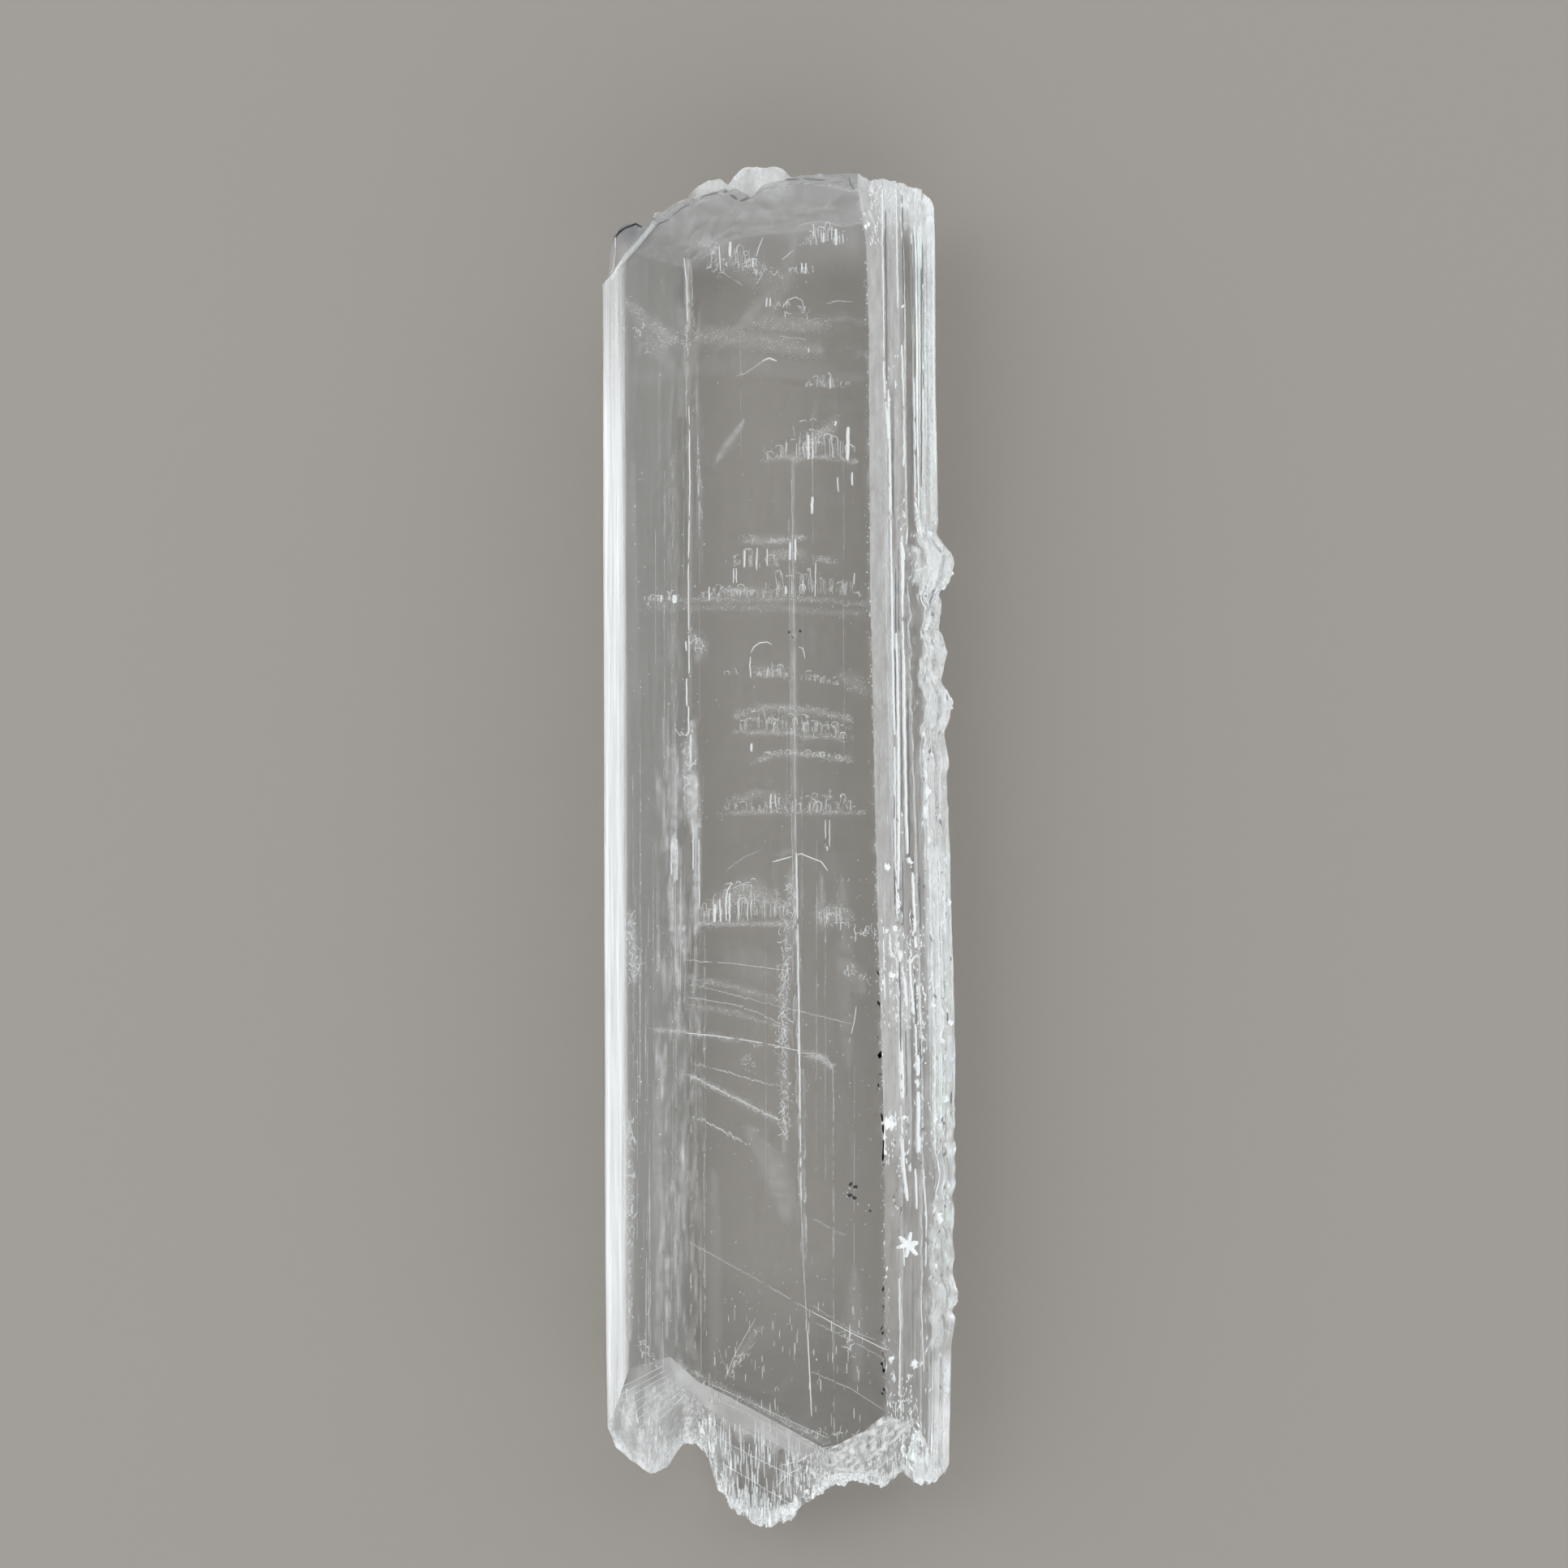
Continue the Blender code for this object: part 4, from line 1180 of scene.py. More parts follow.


# ---------------------------------------------------------------- marks inside the crystal
# Threads: the pixels that each passes, its width in pixels, and for a soft one its depth. One without a
# depth is bright, and lies just under the front face
# Bright threads near 846 pixels across follow the back-left edge seen through the front face, and those from
# 981 to 1000 pixels across a shallow step: there they are partly painted highlight
THREADS = (
    (((843, 318), (846, 350), (847, 402)), 2.2), (((851, 322), (853, 360), (854, 402)), 1.4, 3.0),
    (((846, 400), (846, 480), (844, 560)), 1.6, 6.0), (((849, 500), (850, 600), (848, 700), (849, 830)), 1.8),
    (((856, 480), (860, 560), (863, 640)), 1.6, 7.0),
    (((828, 560), (829, 700), (830, 900), (831, 1100), (833, 1400), (833, 1660)), 1.6, 9.0),
    (((850, 1180), (852, 1400), (851, 1680)), 2.0, 10.0), (((868, 1150), (868, 1640)), 1.2, 8.0),
    (((972, 640), (973, 800), (975, 1000), (978, 1130)), 1.1, 0.9),
    (((975, 590), (977, 700), (979, 850), (980, 1000), (981, 1050)), 1.3, 0.9),
    (((981, 1050), (983, 1150), (985, 1300), (987, 1480)), 2.6),
    (((987, 1480), (990, 1560), (995, 1650)), 1.8, 0.8), (((995, 1640), (998, 1700), (1000, 1745)), 2.0),
    (((985, 1297), (1005, 1298), (1020, 1305), (1026, 1318), (1027, 1400)), 1.6, 2.0),
    (((1027, 1400), (1027, 1600), (1028, 1770)), 1.1, 2.0), (((1055, 1240), (1052, 1262), (1046, 1285)), 1.3),
    (((844, 1183), (900, 1187), (965, 1195)), 1.3, 5.0),
    (((848, 1212), (900, 1225), (960, 1240), (1050, 1262)), 1.6, 5.5),
    (((846, 1228), (905, 1238), (935, 1248), (970, 1265)), 2.0, 5.0),
    (((845, 1273), (880, 1276), (940, 1285), (985, 1295)), 1.6),
    (((855, 1310), (900, 1322), (960, 1340)), 2.0, 6.0), (((850, 1325), (900, 1350), (965, 1382)), 3.0, 6.0),
    (((855, 1375), (885, 1390), (920, 1410)), 2.6, 7.0), (((848, 1530), (930, 1575), (1000, 1616)), 1.4, 3.0),
    (((1000, 1616), (1050, 1643), (1095, 1665)), 1.6),
    (((893, 1700), (903, 1674), (916, 1650), (931, 1624)), 1.0),
    (((905, 1672), (918, 1668), (930, 1654)), 0.8), (((898, 1690), (890, 1676), (886, 1662)), 0.8, 1.5),
    (((1000, 1608), (1050, 1640), (1096, 1658)), 1.1, 3.4),
    (((1005, 1630), (1050, 1652), (1092, 1676)), 1.1, 3.4),
    (((875, 1705), (940, 1735), (1020, 1772)), 1.4, 3.0),
    (((1000, 1690), (1050, 1712), (1090, 1738)), 1.4, 4.0), (((876, 307), (877, 318), (874, 332)), 1.0, 4.0),
    (((886, 303), (887, 318), (888, 334)), 1.8), (((888, 334), (900, 342), (915, 352)), 1.4, 4.0),
    (((940, 292), (935, 305), (932, 316)), 1.4), (((978, 308), (971, 314), (963, 320)), 1.6),
    (((964, 379), (970, 370), (980, 366), (988, 370), (991, 381)), 1.4),
    (((985, 278), (1000, 274), (1020, 274), (1038, 279)), 1.0, 3.0),
    (((1019, 374), (1032, 371), (1048, 372)), 1.4, 4.0),
    (((907, 464), (920, 459), (932, 451), (941, 444)), 2.0, 4.0), (((939, 445), (948, 441), (957, 445)), 3.0),
    (((960, 414), (975, 416), (993, 418)), 1.6, 4.0),
    (((925, 835), (924, 820), (925, 804), (929, 797), (936, 792), (945, 791), (951, 794)), 2.2),
    (((984, 797), (989, 799), (992, 811)), 1.8),
    (((893, 1076), (903, 1066), (919, 1055), (936, 1048)), 1.2, 3.0),
    (((952, 1062), (970, 1057), (987, 1052), (1000, 1057), (1012, 1062), (1020, 1073)), 1.8),
    (((895, 1135), (894, 1115), (896, 1098), (902, 1088)), 3.0),
    (((910, 1134), (909, 1112), (913, 1106), (918, 1106), (921, 1113), (921, 1135)), 2.0),
    (((902, 1095), (915, 1089), (928, 1092)), 2.2, 3.0), (((1013, 1079), (1013, 1113)), 1.0, 4.0),
    (((1031, 1082), (1031, 1106)), 1.0, 4.0), (((1017, 1010), (1017, 1045)), 1.5),
    (((1022, 1010), (1022, 1043)), 1.5), (((1000, 1500), (1020, 1512), (1040, 1522)), 1.0, 5.0),
)
# Rows of tiny upright arches on a common foot: left and right end, foot at each, tallest, how many, depth
ARCH_ROWS = (
    (985, 1042, 304, 302, 26, 12, 3.0), (970, 1002, 338, 338, 14, 7, 3.5), (895, 935, 322, 330, 24, 7, 4.0),
    (994, 1046, 479, 478, 18, 12, 3.5), (945, 1048, 567, 566, 44, 16, 3.0), (898, 960, 700, 702, 24, 9, 3.0),
    (863, 930, 737, 736, 16, 15, 3.0), (925, 1056, 737, 736, 34, 20, 3.5), (795, 845, 742, 741, 14, 9, 3.0),
    (894, 906, 834, 834, 15, 2, 2.5), (933, 970, 836, 838, 24, 8, 3.0), (985, 1040, 838, 846, 16, 8, 3.0),
    (912, 1040, 902, 910, 30, 20, 2.5), (912, 1040, 890, 900, 14, 18, 3.0),
    (940, 1046, 930, 936, 10, 18, 2.5), (894, 1056, 1002, 1002, 22, 28, 2.5),
    (990, 1050, 985, 992, 18, 6, 3.5), (866, 970, 1138, 1137, 50, 22, 3.0),
    (1010, 1042, 1146, 1146, 38, 8, 3.5), (950, 975, 380, 380, 12, 4, 3.5),
)
# Bright upright bars: pixels across, top, bottom and width
BARS = (
    (1045, 526, 567, 5.0), (1050, 582, 598, 3.0), (1032, 588, 606, 2.0), (1001, 612, 633, 4.0),
    (988, 324, 336, 2.6), (993, 324, 337, 2.4), (945, 367, 378, 2.6), (949, 367, 378, 2.4),
    (1030, 282, 302, 4.5), (1002, 276, 291, 2.0), (1015, 287, 299, 3.0), (1025, 279, 295, 1.6),
    (1038, 288, 300, 2.0), (900, 298, 316, 4.0), (928, 319, 329, 2.6), (1023, 465, 479, 2.4),
    (996, 536, 566, 3.0), (1001, 540, 565, 2.2), (1030, 519, 524, 3.6), (996, 429, 434, 2.6),
    (918, 679, 699, 2.8), (933, 675, 702, 2.0), (945, 676, 697, 2.0), (904, 700, 718, 1.8),
    (907, 700, 718, 1.8), (974, 668, 690, 3.2), (980, 664, 690, 3.0), (874, 723, 740, 2.2),
    (968, 722, 732, 3.6), (1005, 693, 735, 1.6), (1053, 706, 720, 1.8), (831, 733, 743, 7.0),
    (815, 733, 742, 3.0), (926, 916, 926, 3.6), (950, 978, 996, 2.2), (955, 979, 994, 1.8),
    (881, 1114, 1136, 4.0), (887, 1108, 1136, 2.6), (899, 1100, 1136, 2.6), (1019, 1043, 1048, 3.0),
    (846, 836, 870, 2.4), (848, 870, 905, 2.2), (845, 790, 802, 2.4), (851, 905, 940, 3.0),
    (827, 1040, 1078, 2.0), (834, 1034, 1084, 1.6), (854, 1012, 1072, 1.8), (861, 1034, 1120, 1.6),
)
# Crackle: the pixels that each stretch follows, its width in pixels, its depth, how many cracks
CRACKLES = (
    (((974, 1080), (968, 1150), (966, 1220), (964, 1290), (966, 1350), (968, 1402)), 13, 1.2, 270),
    (((1052, 1160), (1064, 1148), (1076, 1152)), 14, 0.8, 22), (((1048, 1190), (1058, 1206)), 26, 2.0, 20),
    (((898, 1696), (918, 1664), (934, 1636)), 9, 1.5, 22),
    (((868, 1702), (876, 1740), (872, 1770)), 12, 1.0, 30), (((922, 1300), (924, 1316)), 13, 3.0, 16),
    (((785, 406), (786, 414)), 8, 2.0, 6), (((776, 1130), (782, 1210)), 12, 1.0, 50),
    (((776, 1380), (777, 1480), (775, 1560), (774, 1650)), 9, 1.0, 110),
    (((790, 1654), (800, 1672)), 14, 3.0, 26), (((855, 786), (864, 800)), 13, 2.0, 14),
    (((843, 900), (850, 960), (856, 1010)), 18, 2.0, 90), (((1040, 1636), (1052, 1670)), 14, 3.0, 20),
    (((985, 1766), (1050, 1768)), 12, 1.5, 30), (((878, 306), (884, 340)), 22, 3.0, 30),
    (((914, 322), (950, 340)), 26, 3.0, 30), (((955, 384), (1000, 384)), 18, 3.0, 14),
)
# A crack: its steps' length in pixels, how that varies, how many they are at most, how much longer they are
# along the blade, and how far they turn; then how far cracks stray from their route, as a share and in mm
CRACK_STEP = (1.2, 3.4)
CRACK_REACH = (0.5, 1.3)
CRACK_STEPS = 4
CRACK_STRETCH = 1.5
CRACK_TURN = 1.5
CRACKLE_SPREAD = 0.5
CRACKLE_SPREAD_ALONG = 0.1
# Scattered flecks, hair-fine lines and short dashes: pixels left, right, top and bottom, and how many
FLECKS = (
    (776, 836, 1080, 1700, 110), (1036, 1074, 1080, 1720, 90), (780, 1066, 290, 1700, 150),
    (776, 800, 560, 1080, 40), (850, 1060, 1280, 1500, 40), (840, 870, 640, 1180, 60),
    (870, 1020, 1540, 1740, 60),
)
HAIRS = ((776, 872, 520, 1640, 34), (880, 1060, 400, 1600, 9))
DASHES = (868, 1070, 1600, 1745, 80)
DASH_LENGTH = (4.0, 16.0)
HAIR_LENGTH = (60.0, 420.0)
HAIRS_END = 1690.0
# Which points of an arch are kept: the whole of it, a side with its hook, or one leg
ARCH_PARTS = ((0, 7), (0, 7), (0, 4), (3, 7), (0, 2), (5, 7), (1, 6))
# An arch's curve as a share of its width, how much of a leg is missing, and its lean, as shares of its height
ARCH_RISE = (0.2, 0.5)
ARCH_LEG_LOSS = (-0.6, 0.9)
ARCH_LEAN = 0.12
ARCH_CURVE_STEPS = 4
# A row of arches: where each stands in its share of the row, how low the row's ends are and how round its
# top is, and the arches' heights, widths, raised feet and depths
ARCH_PLACE = (0.1, 0.9)
ROW_END_HEIGHT = 0.3
ROW_ROUNDNESS = 0.7
ARCH_HEIGHT = (0.3, 1.0)
ARCH_WIDEST = 0.9
ARCH_WIDTH = (3.0, 10.0)
FOOT_RAISE = 0.25
ARCH_DEPTH_SPREAD = 0.6
# The streaks beside an arch: how many, how far off and how tilted in pixels, and their share of its height
STREAKS_PER_ARCH = 2
STREAK_SPREAD = 4.0
STREAK_LEAN = 0.8
STREAK_LENGTH = (0.15, 0.7)
BAR_LEAN = 1.0
BAR_TAPER = 0.6
HAIR_LEAN = 1.5
DUST_SIZE = (0.016, 0.042)
DUST_SPREAD = 0.45
DUST_FROM = 0.035
DUST_PER_AREA = 1700.0
DUST_DEPTH = 3.0
DUST_DEPTH_SPREAD = 0.3
DUST_GRAIN = (1.0, 1.0, 2.0, 33.0, 0.8)
DUST_THRESHOLD = (-0.5, 0.2)
SHALLOW = 0.02
DEEPEST_HAIR = 1.6
# How far each kind of line strays, and how long its steps are
THREAD_DRAWING = (0.015, 0.35)
STREAK_DRAWING = (0.01, 0.5)
BAR_DRAWING = (0.02, 0.35)
DASH_DRAWING = (0.01, 0.3)
HAIR_DRAWING = (0.008, 0.8)
CRACKLE_DRAWING = (0.0, 0.2)
DUST_DRAWING = (0.0, 0.15)
# Half widths in millimetres, or their share of a width given in pixels
BRIGHT_SHARE = 0.42
SOFT_SHARE = 0.28
THREAD_VARIATION = (0.7, 1.1)
ARCH_THICKNESS = (0.016, 0.034)
STREAK_WIDTH = (0.01, 0.03)
DASH_WIDTH = (0.012, 0.035)
HAIR_WIDTH = (0.005, 0.014)
CRACK_WIDTH = (0.01, 0.035)
FLECK_SIZE = (0.015, 0.055)
FLECK_STRETCH = (1.0, 2.6)
# Half heights of flat marks
FLAT = 0.012
HAIR_HEIGHT = 0.006
# How often something happens, from 0, never, to 1
THREAD_GAPS = 0.06
HAIR_GAPS = 0.12
BRIGHT_ARCHES = 0.6
SHALLOW_ARCHES = 0.4
BRIGHT_CRACKS = 0.6
# The right edge's chips: how many, from where to where, how far in, and their size; some are shaded, dark with
# painted shade
EDGE_CHIPS = 230
EDGE_CHIPS_ALONG = (-38.0, 46.0)
EDGE_CHIPS_INSET = 0.14
EDGE_CHIP_WIDTH = (0.015, 0.07)
EDGE_CHIP_LENGTH = (0.03, 0.16)
EDGE_CHIP_HEIGHT = 0.015
EDGE_SHADE_FROM = -2.0
EDGE_SHADE_TO = 36.0
SHADED_CHIPS = 0.2


def build_threads(heaps, chance):
    for pixels, width, *soft_depth in THREADS:
        brightness = "soft" if soft_depth else "bright"
        depth = soft_depth[0] if soft_depth else SHALLOW
        half = width * MM_PER_PIXEL * (SOFT_SHARE if soft_depth else BRIGHT_SHARE)
        half_height = half * 0.5 if soft_depth else FLAT
        for piece in broken_route(inside_line(pixels, depth, chance, THREAD_DRAWING), chance, THREAD_GAPS):
            add_tube(heaps[brightness], piece, half * chance.uniform(*THREAD_VARIATION), half_height)


def arch_outline(across, foot, width, height, chance):
    """A tiny arch's pixels: up one side, over the top and down the other, often without all of one leg."""
    rise = min(height * 0.5, width * chance.uniform(*ARCH_RISE))
    left_foot = foot - height * max(0.0, chance.uniform(*ARCH_LEG_LOSS))
    right_foot = foot - height * max(0.0, chance.uniform(*ARCH_LEG_LOSS))
    lean = chance.uniform(-ARCH_LEAN, ARCH_LEAN) * height
    top = foot - height
    pixels = [(across - width / 2.0, left_foot), (across - width / 2.0 + lean, top + rise)]
    for step in range(1, ARCH_CURVE_STEPS):
        angle = math.pi * step / ARCH_CURVE_STEPS
        pixels.append((across + lean - math.cos(angle) * width / 2.0, top + rise - math.sin(angle) * rise))
    pixels.append((across + width / 2.0 + lean, top + rise))
    pixels.append((across + width / 2.0, right_foot))
    first, end = chance.choice(ARCH_PARTS)
    return pixels[first:end]


def build_arches(heaps, chance):
    for left, right, left_foot, right_foot, tallest, count, depth in ARCH_ROWS:
        for index in range(count):
            share = (index + chance.uniform(*ARCH_PLACE)) / count
            envelope = ROW_END_HEIGHT + (1.0 - ROW_END_HEIGHT) * math.sin(math.pi * share) ** ROW_ROUNDNESS
            height = tallest * envelope * chance.uniform(*ARCH_HEIGHT)
            width = min(height * ARCH_WIDEST, chance.uniform(*ARCH_WIDTH))
            foot = left_foot + share * (right_foot - left_foot) - chance.uniform(0.0, FOOT_RAISE) * tallest
            place = left + share * (right - left)
            thickness = chance.uniform(*ARCH_THICKNESS)
            brightness = "bright" if chance.random() < BRIGHT_ARCHES else "soft"
            shallow = chance.random() < SHALLOW_ARCHES
            arch_depth = SHALLOW if shallow else depth + chance.uniform(-ARCH_DEPTH_SPREAD, ARCH_DEPTH_SPREAD)
            pixels = arch_outline(place, foot, width, height, chance)
            route = settled([inside_at(across, down, arch_depth) for across, down in pixels])
            add_tube(heaps[brightness], route, thickness, thickness * 0.5)
            add_streaks(heaps["bright"], place, foot, tallest * envelope, depth, chance)


def add_streaks(heap, place, foot, tallest, depth, chance):
    """Short upright streaks beside an arch."""
    for streak in range(STREAKS_PER_ARCH):
        across = place + chance.gauss(0.0, STREAK_SPREAD)
        length = tallest * chance.uniform(*STREAK_LENGTH)
        route = upright_line(across, foot, foot - length, STREAK_LEAN, depth, chance, STREAK_DRAWING)
        add_tube(heap, route, chance.uniform(*STREAK_WIDTH), FLAT)


def build_bars(heaps, chance):
    for across, top, bottom, width in BARS:
        route = upright_line(across, top, bottom, BAR_LEAN, SHALLOW, chance, BAR_DRAWING)
        add_tube(heaps["bright"], route, width * MM_PER_PIXEL * BRIGHT_SHARE, FLAT, BAR_TAPER)


def build_dust(heaps, chance):
    """Dust along the hazes that cross the blade: those along it are smooth."""
    for pixels, width, strength in HAZES:
        corners = [inside_at(across, down, DUST_DEPTH) for across, down in pixels]
        run = corners[-1] - corners[0]
        half = width * MM_PER_PIXEL / 2.0
        if abs(run.y) > abs(run.x) or strength < DUST_FROM:
            continue
        route = route_between(corners, chance, *DUST_DRAWING)
        for index in range(int(DUST_PER_AREA * (strength - DUST_FROM) * run.length * half * 2.0)):
            spot = route[chance.randrange(len(route))].copy()
            spot.x += chance.gauss(0.0, DUST_SPREAD * half)
            spot.y += chance.gauss(0.0, DUST_SPREAD * half)
            spot.z += chance.gauss(0.0, DUST_DEPTH_SPREAD)
            if grainy(spot.x, spot.y, DUST_GRAIN) > chance.uniform(*DUST_THRESHOLD) and is_covered(spot):
                add_flake(heaps["dust"], spot, chance.uniform(*DUST_SIZE), chance)


def add_crack(heap, spot, steps, size, half_width, chance):
    """A tiny jagged crack that keeps changing direction."""
    heading = chance.uniform(0.0, math.tau)
    route = [spot]
    for step in range(steps):
        reach = size * chance.uniform(*CRACK_REACH)
        x = math.cos(heading) * reach
        route.append(route[-1] + Vector((x, math.sin(heading) * reach * CRACK_STRETCH, 0.0)))
        heading += chance.uniform(-CRACK_TURN, CRACK_TURN)
    add_tube(heap, settled(route), half_width, FLAT)


def build_crackles(heaps, chance):
    for pixels, width, depth, count in CRACKLES:
        corners = [inside_at(across, down, depth) for across, down in pixels]
        route = route_between(corners, chance, *CRACKLE_DRAWING)
        half = width * MM_PER_PIXEL / 2.0
        for index in range(count):
            middle = route[chance.randrange(len(route))].copy()
            shift_x = chance.gauss(0.0, CRACKLE_SPREAD * half)
            middle += Vector((shift_x, chance.gauss(0.0, CRACKLE_SPREAD_ALONG), 0.0))
            brightness = "bright" if chance.random() < BRIGHT_CRACKS else "soft"
            size = chance.uniform(*CRACK_STEP) * MM_PER_PIXEL
            steps = chance.randint(1, CRACK_STEPS)
            add_crack(heaps[brightness], middle, steps, size, chance.uniform(*CRACK_WIDTH), chance)


def build_dashes(heaps, chance):
    for across, top in places_in(DASHES, chance):
        pixels = ((across, top), (across, top + chance.uniform(*DASH_LENGTH)))
        route = inside_line(pixels, SHALLOW, chance, DASH_DRAWING)
        add_tube(heaps["bright"], route, chance.uniform(*DASH_WIDTH), FLAT)


def build_flecks(heaps, chance):
    """Single bright flecks scattered through the crystal."""
    for patch in FLECKS:
        for across, down in places_in(patch, chance):
            spot = inside_at(across, down, SHALLOW + chance.random() ** 3)
            size = chance.uniform(*FLECK_SIZE)
            sizes = (size, size * chance.uniform(*FLECK_STRETCH), size * 0.5)
            if is_covered(spot):
                add_shard(heaps["bright"], spot, sizes, chance)


def build_hairs(heaps, chance):
    """Hair-fine upright lines."""
    for patch in HAIRS:
        for across, top in places_in(patch, chance):
            end = min(HAIRS_END, top + chance.uniform(*HAIR_LENGTH))
            depth = chance.uniform(SHALLOW, DEEPEST_HAIR)
            route = upright_line(across, top, end, HAIR_LEAN, depth, chance, HAIR_DRAWING)
            for piece in broken_route(route, chance, HAIR_GAPS):
                add_tube(heaps["soft"], piece, chance.uniform(*HAIR_WIDTH), HAIR_HEIGHT)


def build_edge_chips(heaps, chance):
    """Tiny chips out of the front face's right edge, some of them dark with painted shade."""
    for index in range(EDGE_CHIPS):
        y = chance.uniform(*EDGE_CHIPS_ALONG)
        spot = Vector((front_right_x(y) - abs(chance.gauss(0.0, EDGE_CHIPS_INSET)), y, THICKNESS - SHALLOW))
        sizes = (chance.uniform(*EDGE_CHIP_WIDTH), chance.uniform(*EDGE_CHIP_LENGTH), EDGE_CHIP_HEIGHT)
        shaded = chance.random() < SHADED_CHIPS and EDGE_SHADE_FROM < y < EDGE_SHADE_TO
        if is_covered(spot):
            add_shard(heaps["shade" if shaded else "bright"], spot, sizes, chance)


# ---------------------------------------------------------------- marks on the striated side
# Bright lines along the side, painted highlights where its facets catch the light: the pixels that each passes
# and its width in pixels
SIDE_LINES = (
    (((1087, 232), (1088, 380), (1089, 460), (1094, 540)), 2.6),
    (((1094, 480), (1096, 560), (1098, 700), (1100, 800)), 3.0),
    (((1098, 700), (1100, 850), (1102, 905)), 3.4),
    (((1104, 780), (1106, 870), (1107, 1000), (1106, 1120)), 4.0),
    (((1102, 920), (1103, 1060), (1106, 1135)), 2.0), (((1111, 425), (1113, 500), (1113, 575)), 3.0),
    (((1111, 660), (1112, 760), (1113, 800)), 3.2),
    (((1113, 800), (1114, 900), (1116, 1000), (1118, 1052)), 5.0),
    (((1125, 465), (1127, 540), (1128, 608)), 2.4), (((1127, 612), (1129, 634)), 3.4),
    (((1132, 640), (1134, 668)), 4.4), (((1110, 668), (1114, 690)), 6.0), (((1113, 690), (1111, 745)), 3.6),
    (((1124, 1075), (1126, 1120), (1128, 1168)), 5.0), (((1088, 1142), (1089, 1200), (1090, 1232)), 2.6),
    (((1108, 1170), (1109, 1185)), 4.0), (((1106, 1210), (1108, 1330)), 3.0),
    (((1107, 1262), (1110, 1300), (1112, 1358)), 6.0), (((1128, 1262), (1129, 1300)), 3.0),
    (((1130, 1300), (1131, 1360), (1130, 1420)), 6.4), (((1110, 1362), (1112, 1398)), 3.0),
    (((1111, 1400), (1113, 1440), (1118, 1480)), 4.0), (((1128, 1440), (1130, 1490)), 2.6),
    (((1108, 1575), (1109, 1640), (1108, 1718)), 2.0), (((1134, 1585), (1136, 1640), (1138, 1690)), 1.6),
    (((1149, 290), (1150, 420), (1151, 560), (1156, 640)), 2.2),
    (((1104, 232), (1105, 300), (1106, 380)), 2.0), (((1113, 1530), (1114, 1560)), 2.0),
    (((1096, 545), (1096, 640)), 2.0), (((1145, 820), (1152, 850), (1160, 880)), 5.0),
    (((1148, 694), (1158, 684), (1168, 680)), 4.0), (((1176, 694), (1172, 714), (1162, 738)), 4.4),
    (((1126, 704), (1140, 698), (1150, 706)), 2.6), (((1163, 740), (1160, 768), (1150, 792)), 3.4),
    (((1158, 868), (1168, 874), (1172, 884)), 4.4), (((1140, 950), (1142, 975), (1140, 1000)), 4.0),
    (((1104, 1140), (1106, 1170), (1105, 1205)), 4.0), (((1120, 1180), (1122, 1215), (1126, 1250)), 4.4),
    (((1114, 1205), (1117, 1240)), 4.0), (((1132, 1212), (1134, 1262)), 3.0),
    (((1096, 1150), (1098, 1180)), 3.0), (((1160, 1240), (1162, 1262), (1158, 1280)), 4.0),
    (((1086, 1372), (1090, 1400), (1088, 1430)), 3.0), (((1137, 1440), (1141, 1500), (1140, 1560)), 2.0),
    (((1163, 1080), (1164, 1150)), 2.4), (((1133, 1400), (1133, 1419)), 2.5),
)
# Thin dark lines of painted shade beside them, where the steps look dark, and a few short wide dark pores,
# also painted shade
SIDE_SHADES = (
    (((1091, 260), (1092, 380), (1092, 470)), 1.6), (((1112, 240), (1113, 330), (1114, 420)), 1.6),
    (((1123, 300), (1124, 400)), 1.2), (((1100, 540), (1101, 640)), 1.2), (((1104, 700), (1104, 780)), 1.6),
    (((1103, 800), (1104, 900)), 1.8), (((1110, 800), (1111, 1000)), 1.4), (((1119, 860), (1121, 1040)), 1.6),
    (((1112, 1060), (1113, 1140)), 1.6), (((1115, 1270), (1117, 1350)), 1.4),
    (((1137, 300), (1138, 480)), 1.4), (((1124, 500), (1125, 600)), 1.4), (((1133, 1080), (1134, 1160)), 1.4),
    (((1102, 980), (1103, 1130)), 1.6), (((1109, 1185), (1111, 1345)), 1.8),
    (((1118, 1000), (1121, 1056)), 1.4), (((1126, 1190), (1129, 1260)), 1.6),
    (((1134, 1280), (1135, 1400)), 1.6), (((1124, 1290), (1125, 1390)), 1.2),
    (((1107, 640), (1108, 780)), 1.4), (((1116, 670), (1117, 800)), 1.4),
    (((1155, 700), (1150, 730), (1143, 752)), 2.4), (((1135, 330), (1135, 600)), 1.6),
    (((1124, 420), (1123, 620)), 1.2), (((1171, 1108), (1171, 1120)), 4.0),
    (((1172, 1170), (1172, 1184)), 4.0), (((1167, 1248), (1167, 1258)), 3.6),
    (((1172, 1345), (1172, 1360)), 4.0),
)
